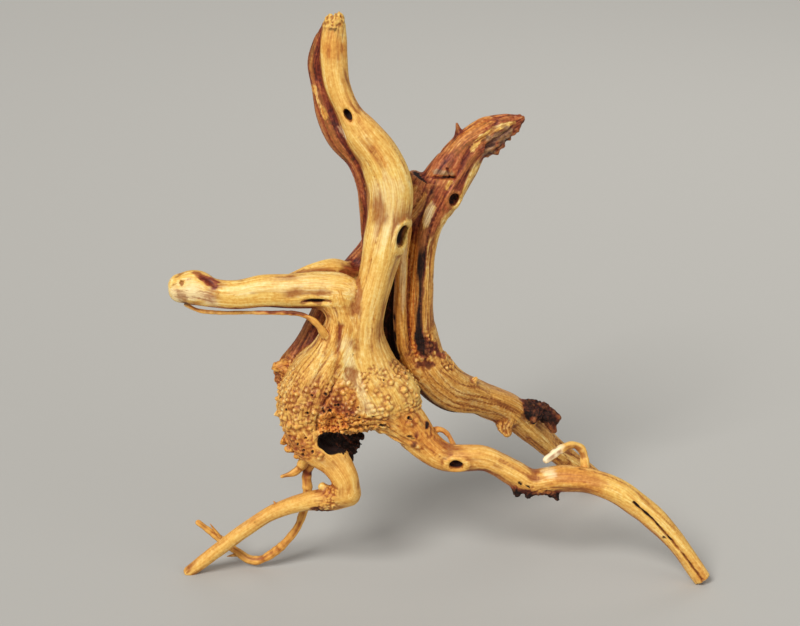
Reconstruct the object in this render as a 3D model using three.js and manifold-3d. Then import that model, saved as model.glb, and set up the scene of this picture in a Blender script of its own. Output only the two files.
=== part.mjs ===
// Driftwood: one gnarled, water-worn root, about 47 cm wide, 22 cm deep and 50 cm tall.
// A swollen crown covered in bud warts carries a pale front stem, a side arm and an old dark rear stem.
// It stands on three legs: front left, front right and rear.
// Millimetres, +X to the right, +Y away from the viewer, +Z up, origin on the surface under the middle.

import * as THREE from "three";
import { mergeVertices } from "three/addons/utils/BufferGeometryUtils.js";
import Module from "manifold-3d";

const wasm = await Module();
wasm.setup();

// Driving dimensions
const RING_STEP = 15; // distance between the rings of a thick limb
const TWIG_STEP = 10; // the same on a twig
const RIPPLE = 0.05; // how far a thick limb's section departs from an ellipse, as a share of its radius
const CROWN_CENTRE = new THREE.Vector3(-84, -62, 160);
const CROWN_REACH = 78; // nothing further than this from the crown's centre is part of the crown
const WART_COUNT = 110; // directions tried; those that miss the warty zone are dropped
const WART_RADIUS = 3.3;
const WART_SPREAD = 0.3; // how far a wart's radius departs from that, as a share
const WARTY_ZONE = { bottom: 127, top: 192 };
const BARE_HOLLOW = { x: -94, half: 17, top: 180 }; // no warts grow in the hollow
const BARE_RIDGE = { x: -72, half: 5 }; // nor on the smooth ridge down the crown's front
const GOLDEN_ANGLE = Math.PI * (3 - Math.sqrt(5));
const FLOOR_BLOCK = 700;

// Each limb's rows are stations along its axis: x, y, z, half width seen from the front, half depth.
const LIMBS = [
  {
    name: "pale front stem, broken tip down into the crown's right half",
    sides: 16,
    rows: [
      [-92, -52, 487, 8.5, 8],
      [-93, -53, 474, 10.5, 10],
      [-93, -55, 458, 11, 10.5],
      [-90, -58, 437, 10.5, 11.5],
      [-80.5, -62, 416, 10.3, 11.5],
      [-69, -66, 399, 15, 14],
      [-55, -68, 380, 17.5, 15.5],
      [-46, -69, 355, 19, 16.5],
      [-47, -69, 329, 18.5, 16.5],
      [-52, -70, 303, 17, 17],
      [-58, -71, 277, 15, 17],
      [-65, -72, 250, 15, 18],
      [-68, -73, 223, 16, 20.5],
      [-62, -72, 193, 21.5, 25.5],
      [-50, -71, 165, 29, 29.5],
      [-48, -71, 152, 19, 19],
    ],
  },
  {
    name: "heartwood laid bare behind the front stem's left edge",
    sides: 10,
    rows: [
      [-96, -48, 483, 6.5, 6.5],
      [-101, -46, 468, 10, 8],
      [-104.5, -46, 452, 11, 9],
      [-100, -48, 433, 11.5, 10],
      [-94.5, -52, 413, 13.5, 11],
      [-86, -56, 394, 12.8, 11.5],
      [-72, -58, 375, 11.5, 11.5],
      [-64, -58, 354, 11.5, 11.5],
      [-61.5, -58, 332, 11.5, 11],
      [-61.5, -58, 308, 9.5, 10],
      [-62, -60, 284, 7, 8.5],
    ],
  },
  {
    name: "side arm, knob end to the fork",
    sides: 12,
    rows: [
      [-224, -70, 263.5, 11.5, 11],
      [-210, -72, 264.5, 14.3, 13],
      [-195, -76, 262, 12, 10],
      [-175, -80, 262, 12.5, 11],
      [-154, -81, 265.5, 13.5, 12.5],
      [-131, -79, 265, 15, 13.5],
      [-107, -76, 265, 16, 15],
      [-88, -74, 262, 14, 15],
    ],
  },
  {
    name: "neck under the side arm, down into the crown's left half",
    sides: 14,
    rows: [
      [-91, -75, 262, 14, 15],
      [-86, -76, 238, 16, 18.5],
      [-94, -77, 213, 18.5, 22],
      [-108, -76, 187, 23, 27.5],
      [-118, -74, 162, 25, 29],
      [-120, -74, 146, 18, 21],
    ],
  },
  {
    name: "pale shoulder behind the side arm",
    sides: 8,
    rows: [
      [-130, -64, 268, 7.5, 8.5],
      [-113, -56, 272, 9.3, 10],
      [-96, -48, 272.5, 9.8, 11],
      [-81, -40, 267.5, 8.5, 10.5],
    ],
  },
  {
    name: "crown",
    sides: 22,
    ripple: 0.035,
    rows: [
      [-81, -68, 206, 25, 25],
      [-87, -64, 184, 47.5, 34.5],
      [-87, -60, 163, 56, 40],
      [-86, -60, 153, 51, 37],
      [-85, -58, 146, 34, 27],
      [-85, -57, 143, 18, 15],
    ],
  },
  {
    name: "left thigh",
    sides: 11,
    rows: [
      [-122, -82, 149, 18, 19],
      [-112, -88, 130, 18, 15.5],
      [-95, -94, 115, 14, 12],
      [-86, -98, 101, 12, 11],
      [-86, -98, 89, 11.5, 10],
    ],
  },
  {
    name: "left shin",
    sides: 10,
    end: "sawn",
    rows: [
      [-83, -98, 87, 11, 10],
      [-99, -96, 81, 11, 9.5],
      [-120, -92, 76.3, 7.8, 8.5],
      [-147, -86, 64.3, 6.6, 8],
      [-174, -82, 44.5, 5.9, 7],
      [-198, -79, 24, 6, 6.5],
      [-226, -75, -1, 5.3, 6],
    ],
  },
  {
    name: "front right leg",
    sides: 12,
    end: "sawn",
    rows: [
      [-51, -76, 163, 22.5, 22.5],
      [-31, -78, 143, 17, 17],
      [-17, -80, 126, 14, 14.5],
      [2, -83, 114, 12.5, 13],
      [32, -86, 115, 11, 11],
      [47, -86, 109, 10.5, 10.5],
      [60, -86, 101, 11, 11],
      [77, -86, 92, 11.5, 11],
      [100, -86, 95, 12, 12],
      [125, -88, 94, 11, 11],
      [147, -90, 86.3, 10.7, 11],
      [165.7, -92, 73.8, 11, 10.5],
      [183.5, -93, 58.6, 10, 9.5],
      [203, -94, 37, 8.5, 8.5],
      [226, -96, 4, 8, 8],
    ],
  },
  {
    name: "old rear stem, from the crown's left shoulder up to its sawn stub",
    sides: 10,
    end: "sawn",
    rows: [
      [-125, -50, 162, 15.5, 15.5],
      [-130, -44, 178, 16, 14],
      [-117, -38, 201, 12.5, 13],
      [-101.5, -32, 229, 14.5, 14],
      [-85, -30, 254, 14.5, 14.5],
      [-62, -28, 283, 14, 15],
      [-43, -26, 310, 18, 17],
      [-26, -26, 332, 19, 17],
      [-17, -26, 348, 14, 13],
    ],
  },
  {
    name: "dark right branch, tip down to its knotty foot",
    sides: 12,
    rows: [
      [63.5, -10, 395.5, 4, 4],
      [52, -12, 390.5, 11.5, 7.5],
      [38, -13, 383.5, 17, 10],
      [22, -17, 375, 15.5, 12],
      [9, -20, 357, 19, 14.5],
      [-4.5, -24, 335, 20, 17],
      [-16, -28, 310, 14.5, 15.5],
      [-21, -32, 284, 13, 14.5],
      [-22.5, -34, 255, 13.8, 14.5],
      [-22.8, -34, 224, 14, 15.5],
      [-20.5, -32, 199, 14.5, 16.5],
    ],
  },
  {
    name: "pale rib between the front stem and the dark branch",
    sides: 8,
    rows: [
      [-35, -50, 311, 7, 7.5],
      [-35, -50, 287, 7, 8.5],
      [-36, -51, 261, 6, 8.5],
      [-37, -50, 233, 6, 8.5],
      [-35, -46, 204, 6, 8.5],
      [-28, -40, 182, 7, 8.5],
    ],
  },
  {
    name: "dark wall at the back of the slot beside the neck",
    sides: 8,
    rows: [
      [-40, -34, 255, 10.5, 9.5],
      [-44, -32, 222, 14, 9.5],
      [-44, -32, 192, 15.5, 10.5],
      [-47, -36, 165, 17.5, 12.5],
      [-58, -42, 149, 17.5, 14],
    ],
  },
  {
    name: "rear leg",
    sides: 11,
    rows: [
      [-22, -32, 208, 14, 15.5],
      [-16, -28, 179, 20.5, 19],
      [5, -16, 152, 19.5, 18],
      [32, 4, 134, 16, 15.5],
      [61, 26, 113.5, 15, 14],
      [84, 46, 84.5, 12.5, 12],
      [107, 67, 55, 11.3, 11],
      [132, 86, 27, 11, 11],
      [162, 103, -4, 9.5, 9.5],
    ],
  },
  {
    name: "charred knot on the rear leg",
    sides: 9,
    step: TWIG_STEP,
    ripple: 0.14,
    rows: [
      [75, 27, 114.5, 8.5, 8],
      [85, 28, 112, 9, 9],
      [95, 29, 108, 8, 8],
      [103.5, 30, 103, 5.5, 5.5],
    ],
  },
  {
    name: "knob under the rear leg",
    sides: 8,
    step: TWIG_STEP,
    rows: [
      [60, 20, 112, 9, 8],
      [57, 16, 102, 7.5, 7.5],
      [59, 14, 96, 4, 4.5],
    ],
  },
  {
    name: "rotten back wall of the hollow",
    sides: 8,
    ripple: 0.1,
    rows: [
      [-106, -50, 146, 17.5, 13],
      [-94, -49, 126, 17.5, 13],
      [-84, -45, 112, 11, 9],
    ],
  },
  {
    name: "twig under the crown",
    sides: 6,
    step: TWIG_STEP,
    ripple: 0,
    rows: [
      [-120, -76, 126, 6, 6],
      [-118, -69, 110, 5.5, 5.5],
      [-120, -66, 92, 4.5, 4.5],
      [-119, -68, 76, 4, 4],
      [-122, -70, 58, 3.5, 3.5],
      [-130, -70, 39.5, 3.4, 3.4],
      [-144, -68, 21, 3.5, 3.5],
      [-160, -67, 9, 3.7, 3.7],
      [-172, -65, 8, 3.9, 3.9],
      [-184, -62, 15, 3.5, 3.5],
      [-200, -60, 27, 3.5, 3.5],
      [-217, -60, 41, 2.4, 2.4],
    ],
  },
  {
    name: "short spike beside the twig",
    sides: 7,
    step: TWIG_STEP,
    ripple: 0,
    rows: [
      [-117, -76, 118, 6.5, 6.5],
      [-124, -72, 102, 4.5, 4.5],
      [-131, -74, 96, 3, 3],
      [-141, -76, 93, 1.5, 1.5],
    ],
  },
  {
    name: "thin root under the side arm",
    sides: 6,
    step: 11,
    ripple: 0,
    rows: [
      [-96, -86, 220, 4.5, 4.5],
      [-106, -92, 239, 3, 3],
      [-115, -92, 247, 2.5, 2.5],
      [-126, -90, 250, 2.2, 2.2],
      [-148, -86, 249, 2, 2],
      [-173, -80, 247, 2, 2],
      [-195, -74, 245, 2, 2],
      [-209, -72, 246, 2, 2],
      [-220, -71, 251, 1.6, 1.6],
    ],
  },
  {
    name: "curled twig on the front right leg",
    sides: 7,
    step: TWIG_STEP,
    ripple: 0,
    rows: [
      [121, -80, 92, 4.8, 4.8],
      [122.5, -76, 105, 4, 4],
      [119.5, -74, 117, 3.6, 3.6],
      [111.5, -76, 123, 3.5, 3.5],
      [101, -81, 121, 3.5, 3.5],
      [88, -88, 114, 3.2, 3.2],
    ],
  },
  {
    name: "hooked rootlet on the front right leg",
    sides: 6,
    step: TWIG_STEP,
    ripple: 0,
    rows: [
      [-13, -76, 135, 4, 4],
      [-4, -75, 137, 2.4, 2.4],
      [3, -74, 132, 2, 2],
      [8, -76, 122, 2, 2],
    ],
  },
];

// Hollows and knot holes: centre, half sizes before turning, and the turn about the depth axis in degrees.
const HOLLOWS = [
  { name: "rot pocket over the hollow", at: [-94, -112, 151], half: [15.5, 20, 14], turn: 25 },
  { name: "hollow", at: [-97, -90, 133], half: [13, 24, 8.5], turn: 18 },
  { name: "eye in the front stem", at: [-36, -78, 313], half: [5.6, 13, 10.5], turn: 12 },
  { name: "upper eye", at: [-81, -74, 416], half: [3, 8, 6], turn: -30 },
  { name: "eye in the front right leg", at: [10, -97, 112], half: [6.8, 9, 4.8], turn: 0 },
  { name: "eye in the dark branch", at: [8, -37, 332], half: [5, 9, 6], turn: 20 },
  { name: "groove on the arm's knob", at: [-205, -88, 278], half: [14, 5, 3.6], turn: 30 },
  { name: "slit under the arm's root", at: [-109, -92, 260], half: [11, 7, 2.2], turn: 0 },
  { name: "split across the stub", at: [-7, -42, 350], half: [15, 9, 1.8], turn: 4 },
  { name: "crack above the hollow", at: [-99, -104, 180], half: [1.6, 12, 14], turn: 22 },
  { name: "scoop in the branch's tip", at: [44, -26, 379.5], half: [12.5, 5.5, 5], turn: -33 },
];

// Splinters and nubs: foot, tip and foot radius of a small cone.
const SPLINTERS = [
  { from: [-97, -51, 485], to: [-96, -49, 496], radius: 4.5 },
  { from: [-87, -53, 485], to: [-86, -52, 496], radius: 5 },
  { from: [12, -17, 382], to: [10, -16, 393.5], radius: 4 },
  { from: [-6, -32, 187], to: [3, -36, 189], radius: 4 },
  { from: [2, -26, 177], to: [9, -30, 180], radius: 4 },
  { from: [-136, -50, 184], to: [-147, -52, 187], radius: 7 },
  { from: [-127, -76, 131], to: [-140, -78, 128], radius: 7 },
  { from: [-124, -75, 124], to: [-136, -78, 119], radius: 6.5 },
  { from: [-88, -46, 124], to: [-70, -52, 127], radius: 7.5 },
  { from: [-86, -44, 113], to: [-72, -52, 112], radius: 7 },
  { from: [97, 29, 103], to: [102, 30, 90], radius: 6.5 },
  { from: [66, -86, 91], to: [64, -90, 81], radius: 7 },
  { from: [92, -86, 86], to: [99, -88, 77], radius: 7 },
  { from: [-100, -94, 84], to: [-106, -94, 94], radius: 6 },
  { from: [-143, -86, 67], to: [-149, -86, 76], radius: 3 },
  { from: [-196, -61, 24], to: [-206, -62, 41], radius: 2.5 },
  { from: [-180, -63, 12], to: [-192, -62, 9], radius: 2.5 },
];

// Clusters of lumps away from the crown: middle, spread, count and lump radius.
const LUMP_CLUSTERS = [
  { name: "knotty foot of the dark branch", at: [-19, -48, 203], spread: [8, 4, 9], count: 9, radius: 4.6 },
  { name: "warts on the left shin", at: [-99, -102, 90], spread: [4, 2, 9], count: 7, radius: 3 },
];

// Ellipse half sizes with slow lobes that turn along the limb, so that no limb is a plain tube.
function sectionRadius(angle, along, wide, deep, ripple) {
  const ellipse = (wide * deep) / Math.hypot(deep * Math.cos(angle), wide * Math.sin(angle));
  const lobes =
    0.6 * Math.cos(3 * angle + 0.021 * along) + 0.4 * Math.cos(5 * angle - 0.034 * along + 1);
  return ellipse * (1 + ripple * lobes);
}

// A closed tube through a limb's stations, with rounded or sawn ends.
function limbGeometry({ rows, sides, step = RING_STEP, ripple = RIPPLE, end = "round" }) {
  const axis = new THREE.CatmullRomCurve3(
    rows.map(([x, y, z]) => new THREE.Vector3(x, y, z)),
    false,
    "catmullrom",
  );
  const sizes = new THREE.CatmullRomCurve3(
    rows.map(([, , , wide, deep]) => new THREE.Vector3(wide, deep, 0)),
    false,
    "catmullrom",
  );
  const length = axis.getLength();
  const count = Math.max(3, Math.round(length / step));
  const rings = [];
  for (let i = 0; i <= count; i++) {
    rings.push({ t: axis.getUtoTmapping(i / count), along: (length * i) / count, shrink: 1, push: 0 });
  }
  // A rounded end is one smaller ring and a point; a sawn end is flat.
  rings.unshift({ ...rings[0], shrink: 0.72, push: -0.55 });
  if (end === "round") rings.push({ ...rings.at(-1), shrink: 0.72, push: 0.55 });

  const positions = [];
  const depthAxis = new THREE.Vector3(0, 1, 0);
  const place = (ring, angle) => {
    const centre = axis.getPoint(ring.t);
    const tangent = axis.getTangent(ring.t);
    const side = new THREE.Vector3().crossVectors(tangent, depthAxis).normalize();
    const depth = new THREE.Vector3().crossVectors(side, tangent);
    const size = sizes.getPoint(ring.t);
    const r = sectionRadius(angle, ring.along, size.x, size.y, ripple) * ring.shrink;
    return centre
      .addScaledVector(tangent, ring.push * Math.min(size.x, size.y))
      .addScaledVector(side, r * Math.cos(angle))
      .addScaledVector(depth, r * Math.sin(angle));
  };
  for (const ring of rings) {
    for (let k = 0; k < sides; k++) positions.push(...place(ring, (2 * Math.PI * k) / sides).toArray());
  }
  const capPoint = (ring, extra) => {
    const size = sizes.getPoint(ring.t);
    return axis
      .getPoint(ring.t)
      .addScaledVector(axis.getTangent(ring.t), (ring.push + extra) * Math.min(size.x, size.y));
  };
  const first = positions.length / 3;
  positions.push(...capPoint(rings[0], -0.25).toArray());
  positions.push(...capPoint(rings.at(-1), end === "round" ? 0.25 : 0).toArray());

  const faces = [];
  for (let i = 0; i + 1 < rings.length; i++) {
    for (let k = 0; k < sides; k++) {
      const a = i * sides + k;
      const b = i * sides + ((k + 1) % sides);
      faces.push(a, b, b + sides, a, b + sides, a + sides);
    }
  }
  const last = (rings.length - 1) * sides;
  for (let k = 0; k < sides; k++) {
    const next = (k + 1) % sides;
    faces.push(first, next, k);
    faces.push(first + 1, last + k, last + next);
  }
  const geometry = new THREE.BufferGeometry();
  geometry.setAttribute("position", new THREE.Float32BufferAttribute(positions, 3));
  geometry.setIndex(faces);
  return geometry;
}

// An ellipsoid with few faces, turned about the depth axis.
function ellipsoidGeometry({ at, half, turn = 0 }) {
  return new THREE.SphereGeometry(1, 9, 6)
    .scale(...half)
    .rotateY(THREE.MathUtils.degToRad(-turn))
    .translate(...at);
}

// A small cone from a foot point to a tip point.
function splinterGeometry({ from, to, radius }) {
  const foot = new THREE.Vector3(...from);
  const tip = new THREE.Vector3(...to);
  const rise = new THREE.Vector3().subVectors(tip, foot);
  const turn = new THREE.Quaternion().setFromUnitVectors(
    new THREE.Vector3(0, 1, 0),
    rise.clone().normalize(),
  );
  return new THREE.ConeGeometry(radius, rise.length(), 5)
    .applyQuaternion(turn)
    .translate(...foot.add(tip).multiplyScalar(0.5).toArray());
}

// Turns a closed geometry into a solid that can be joined and cut.
function solidOf(geometry) {
  const bare = geometry.clone();
  bare.deleteAttribute("normal");
  bare.deleteAttribute("uv");
  const merged = mergeVertices(bare, 1e-4);
  const triangles = new Uint32Array(merged.index.array);
  const build = () =>
    new wasm.Manifold(
      new wasm.Mesh({ numProp: 3, vertProperties: merged.attributes.position.array, triVerts: triangles }),
    );
  const made = build();
  if (made.volume() > 0) return made;
  for (let i = 0; i < triangles.length; i += 3) {
    [triangles[i + 1], triangles[i + 2]] = [triangles[i + 2], triangles[i + 1]];
  }
  return build();
}

function geometryOf(solid) {
  const mesh = solid.getMesh();
  const geometry = new THREE.BufferGeometry();
  geometry.setAttribute("position", new THREE.BufferAttribute(mesh.vertProperties, 3));
  geometry.setIndex(new THREE.BufferAttribute(mesh.triVerts, 1));
  geometry.computeVertexNormals();
  return geometry;
}

// Warts stand on the crown where rays from its centre leave the wood, spread by the golden angle.
function wartGeometries(surface) {
  const target = new THREE.Mesh(surface, new THREE.MeshBasicMaterial({ side: THREE.DoubleSide }));
  const caster = new THREE.Raycaster();
  const warts = [];
  for (let i = 0; i < WART_COUNT; i++) {
    const height = 1 - (2 * (i + 0.5)) / WART_COUNT;
    const flat = Math.sqrt(1 - height * height);
    const turn = GOLDEN_ANGLE * i;
    const ray = new THREE.Vector3(flat * Math.cos(turn), flat * Math.sin(turn), height);
    caster.set(CROWN_CENTRE, ray);
    const hit = caster.intersectObject(target)[0];
    if (!hit || hit.distance > CROWN_REACH || !isWarty(hit.point, ray)) continue;
    warts.push(wartGeometry(hit.point, ray, WART_RADIUS * (1 + WART_SPREAD * Math.sin(2.4 * i))));
  }
  return warts;
}

// A wart is a blunt five-sided bud whose lower half is sunk in the wood.
function wartGeometry(point, outward, radius) {
  const turn = new THREE.Quaternion().setFromUnitVectors(new THREE.Vector3(0, 1, 0), outward);
  return new THREE.CylinderGeometry(0.4 * radius, 1.25 * radius, 1.8 * radius, 5)
    .applyQuaternion(turn)
    .translate(...point.toArray());
}

// The crown is warty below its neck, except in the hollow and on the smooth ridge down its middle.
function isWarty(point, ray) {
  const nearX = ({ x, half }) => ray.y < 0 && Math.abs(point.x - x) < half;
  const inHollow = nearX(BARE_HOLLOW) && point.z < BARE_HOLLOW.top;
  const inZone = point.z > WARTY_ZONE.bottom && point.z < WARTY_ZONE.top;
  return inZone && !inHollow && !nearX(BARE_RIDGE);
}

// Lumps in a cluster follow the same golden turn, so they never fall in rows.
function lumpGeometries({ at, spread, count, radius }) {
  return Array.from({ length: count }, (_, i) => {
    const out = Math.sqrt((i + 0.5) / count);
    const turn = GOLDEN_ANGLE * i;
    return new THREE.IcosahedronGeometry(radius * (1 + 0.3 * Math.sin(3.1 * i)), 0).translate(
      at[0] + spread[0] * out * Math.cos(turn),
      at[1] + spread[1] * Math.sin(1.7 * i),
      at[2] + spread[2] * out * Math.sin(turn),
    );
  });
}

const join = (whole, geometries) => geometries.reduce((sum, part) => sum.add(solidOf(part)), whole);
const cut = (whole, geometries) => geometries.reduce((rest, part) => rest.subtract(solidOf(part)), whole);

const limbs = LIMBS.map(limbGeometry);
let wood = join(solidOf(limbs[0]), limbs.slice(1));
wood = cut(wood, HOLLOWS.map((hollow) => ellipsoidGeometry(hollow)));
wood = join(wood, [
  ...wartGeometries(geometryOf(wood)),
  ...LUMP_CLUSTERS.flatMap(lumpGeometries),
  ...SPLINTERS.map(splinterGeometry),
]);
const floor = new THREE.BoxGeometry(FLOOR_BLOCK, FLOOR_BLOCK, FLOOR_BLOCK).translate(0, 0, -FLOOR_BLOCK / 2);
wood = cut(wood, [floor]);

const sandedRootWood = new THREE.MeshStandardMaterial({
  color: new THREE.Color(0.78, 0.58, 0.31),
  roughness: 0.62,
  metalness: 0,
});
const driftwood = new THREE.Mesh(geometryOf(wood), sandedRootWood);
driftwood.name = "driftwood";

const group = new THREE.Group();
group.add(driftwood);
export default group;
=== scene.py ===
# %% [markdown]
# # A root of driftwood
# One root, water-worn and then cleaned: pale yellow sapwood, dark red-brown heartwood where the
# sapwood has rotted away, and a swollen crown covered in bud warts. It stands on three legs.
# The frame holds the part's solids at their real size. This script dresses them: one skin with
# fine relief, and one wood material whose colours follow what each limb went through, with
# painted shade in its hollows, cracks and grooves and painted highlights on its buds.

import bmesh
import bpy
import numpy as np
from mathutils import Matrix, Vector


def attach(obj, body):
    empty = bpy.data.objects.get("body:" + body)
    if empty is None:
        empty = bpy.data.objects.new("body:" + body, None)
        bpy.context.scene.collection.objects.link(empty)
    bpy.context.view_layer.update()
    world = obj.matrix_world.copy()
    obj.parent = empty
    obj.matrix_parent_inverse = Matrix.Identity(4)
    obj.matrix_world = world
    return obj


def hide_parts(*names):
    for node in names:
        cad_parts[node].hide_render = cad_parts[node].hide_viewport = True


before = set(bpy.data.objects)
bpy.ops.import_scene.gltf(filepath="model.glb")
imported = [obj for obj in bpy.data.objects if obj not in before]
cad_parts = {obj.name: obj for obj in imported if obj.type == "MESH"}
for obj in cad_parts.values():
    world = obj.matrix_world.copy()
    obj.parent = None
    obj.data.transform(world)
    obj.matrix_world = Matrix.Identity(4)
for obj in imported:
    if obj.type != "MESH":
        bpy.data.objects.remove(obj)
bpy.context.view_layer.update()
MM = 0.001
rng = np.random.default_rng(7)  # the same warts each run

# %% [markdown]
# ## The limbs
# A root is a bundle of limbs, and each limb is a section carried along a bent axis. So each limb
# is a short list of stations: x, y, z, half width from the front, half depth, in mm.
# `blend` is the radius of the fillet where the limb grows into its neighbours.

# %% Stations of the thick limbs
THICK = {
    "stem": {"rows": [
        [-92, -52, 487, 8.5, 8], [-93, -53, 474, 10.5, 10], [-93, -55, 458, 11, 10.5],
        [-90, -58, 437, 10.5, 11.5], [-80.5, -62, 416, 10.3, 11.5], [-69, -66, 399, 15, 14],
        [-55, -68, 380, 17.5, 15.5], [-46, -69, 355, 19, 16.5], [-47, -69, 329, 18.5, 16.5],
        [-52, -70, 303, 17, 17], [-58, -71, 277, 15, 17], [-65, -72, 250, 15, 18],
        [-68, -73, 223, 16, 20.5], [-62, -72, 193, 21.5, 25.5], [-50, -71, 165, 29, 29.5],
        [-48, -71, 152, 19, 19]]},
    "heart_strip": {"blend": 3, "rows": [
        [-96, -48, 483, 6.5, 6.5], [-101, -46, 468, 10, 8], [-104.5, -46, 452, 11, 9],
        [-100, -48, 433, 11.5, 10], [-94.5, -52, 413, 13.5, 11], [-86, -56, 394, 12.8, 11.5],
        [-72, -58, 375, 11.5, 11.5], [-64, -58, 354, 11.5, 11.5], [-61.5, -58, 332, 11.5, 11],
        [-61.5, -58, 308, 9.5, 10], [-62, -60, 284, 7, 8.5]]},
    "arm": {"rows": [
        [-224, -70, 264.5, 12.3, 11], [-211, -72, 265.5, 14.5, 13], [-195, -76, 262, 12, 10],
        [-175, -80, 262, 12.5, 11], [-154, -81, 265.5, 13.5, 12.5], [-131, -79, 265, 15, 13.5],
        [-107, -76, 265, 16, 15], [-88, -74, 262, 14, 15]]},
    "neck": {"blend": 10, "rows": [
        [-91, -75, 262, 14, 15], [-86, -76, 238, 16, 18.5], [-94, -77, 213, 18.5, 22],
        [-108, -76, 187, 23, 27.5], [-118, -74, 162, 25, 29], [-120, -74, 146, 18, 21]]},
    "shoulder": {"rows": [
        [-130, -64, 268, 7.5, 8.5], [-113, -56, 272, 9.3, 10], [-96, -48, 272.5, 9.8, 11],
        [-81, -40, 267.5, 8.5, 10.5]]},
    "crown": {"blend": 9, "rows": [
        [-81, -68, 206, 25, 25], [-87, -64, 184, 47.5, 34.5], [-87, -60, 163, 56, 40],
        [-86, -60, 153, 51, 37], [-85, -58, 146, 34, 27], [-85, -57, 143, 18, 15]]},
    "thigh": {"blend": 9, "rows": [
        [-122, -82, 149, 18, 19], [-112, -88, 130, 18, 15.5], [-95, -94, 115, 14, 12],
        [-86, -98, 101, 12, 11], [-86, -98, 89, 11.5, 10]]},
    "shin": {"end": "sawn", "rows": [
        [-83, -98, 87, 11, 10], [-99, -96, 81, 11, 9.5], [-120, -92, 76.3, 7.8, 8.5],
        [-147, -86, 64.3, 6.6, 8], [-174, -82, 44.5, 5.9, 7], [-198, -79, 24, 6, 6.5],
        [-226, -75, -1, 5.3, 6]]},
    "right_leg": {"end": "sawn", "rows": [
        [-51, -76, 163, 22.5, 22.5], [-31, -78, 143, 17, 17], [-17, -80, 126, 14, 14.5],
        [2, -83, 114, 12.5, 13], [32, -86, 115, 11, 11], [47, -86, 109, 10.5, 10.5],
        [60, -86, 101, 11, 11], [77, -86, 92, 11.5, 11], [100, -86, 95, 12, 12],
        [125, -88, 94, 11, 11], [147, -90, 86.3, 10.7, 11], [165.7, -92, 73.8, 11, 10.5],
        [183.5, -93, 58.6, 10, 9.5], [203, -94, 37, 8.5, 8.5], [226, -96, 4, 8, 8]]},
    "rear_stem": {"end": "sawn", "rows": [
        [-125, -50, 162, 15.5, 15.5], [-130, -44, 178, 16, 14], [-117, -38, 201, 12.5, 13],
        [-101.5, -32, 229, 14.5, 14], [-85, -30, 254, 14.5, 14.5], [-62, -28, 283, 14, 15],
        [-43, -26, 310, 18, 17], [-26, -26, 332, 19, 17], [-17, -26, 348, 14, 13]]},
    "branch": {"rows": [
        [63.5, -10, 395.5, 4, 4], [52, -12, 390.5, 11.5, 7.5], [38, -13, 383.5, 17, 10],
        [22, -17, 375, 15.5, 12], [9, -20, 357, 19, 14.5], [-4.5, -24, 335, 20, 17],
        [-16, -28, 310, 14.5, 15.5], [-21, -32, 284, 13, 14.5], [-22.5, -34, 255, 13.8, 14.5],
        [-22.8, -34, 224, 14, 15.5], [-20.5, -32, 199, 14.5, 16.5]]},
    "rib": {"blend": 3, "rows": [
        [-35, -50, 311, 7, 7.5], [-37, -50, 287, 6.2, 8.5], [-38, -51, 261, 5.6, 8.5],
        [-38.5, -50, 233, 5.6, 8.5], [-36, -46, 204, 6, 8.5], [-28, -40, 182, 7, 8.5]]},
    # the wall at the back of the gap behind the stem and the rib, painted black further on as shade
    "back_wall": {"blend": 4, "rows": [
        [-40, -34, 255, 10.5, 9.5], [-44, -32, 222, 14, 9.5], [-44, -32, 192, 15.5, 10.5],
        [-47, -36, 165, 17.5, 12.5], [-58, -42, 149, 17.5, 14]]},
    "rear_leg": {"rows": [
        [-22, -32, 208, 14, 15.5], [-16, -28, 179, 20.5, 19], [5, -16, 152, 19.5, 18],
        [32, 4, 134, 16, 15.5], [61, 26, 113.5, 15, 14], [84, 46, 84.5, 12.5, 12],
        [107, 67, 55, 11.3, 11], [132, 86, 27, 11, 11], [162, 103, -4, 9.5, 9.5]]},
    "charred_knot": {"blend": 3, "rows": [
        [75, 27, 114.5, 8.5, 8], [85, 28, 112, 9, 9], [95, 29, 108, 8, 8], [103.5, 30, 103, 5.5, 5.5]]},
    "leg_knob": {"rows": [[60, 20, 112, 9, 8], [57, 16, 102, 7.5, 7.5], [59, 14, 96, 4, 4.5]]},
    "hollow_wall": {"blend": 4, "rows": [
        [-106, -50, 146, 17.5, 13], [-94, -49, 126, 17.5, 13], [-84, -45, 112, 11, 9]]},
}

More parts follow.
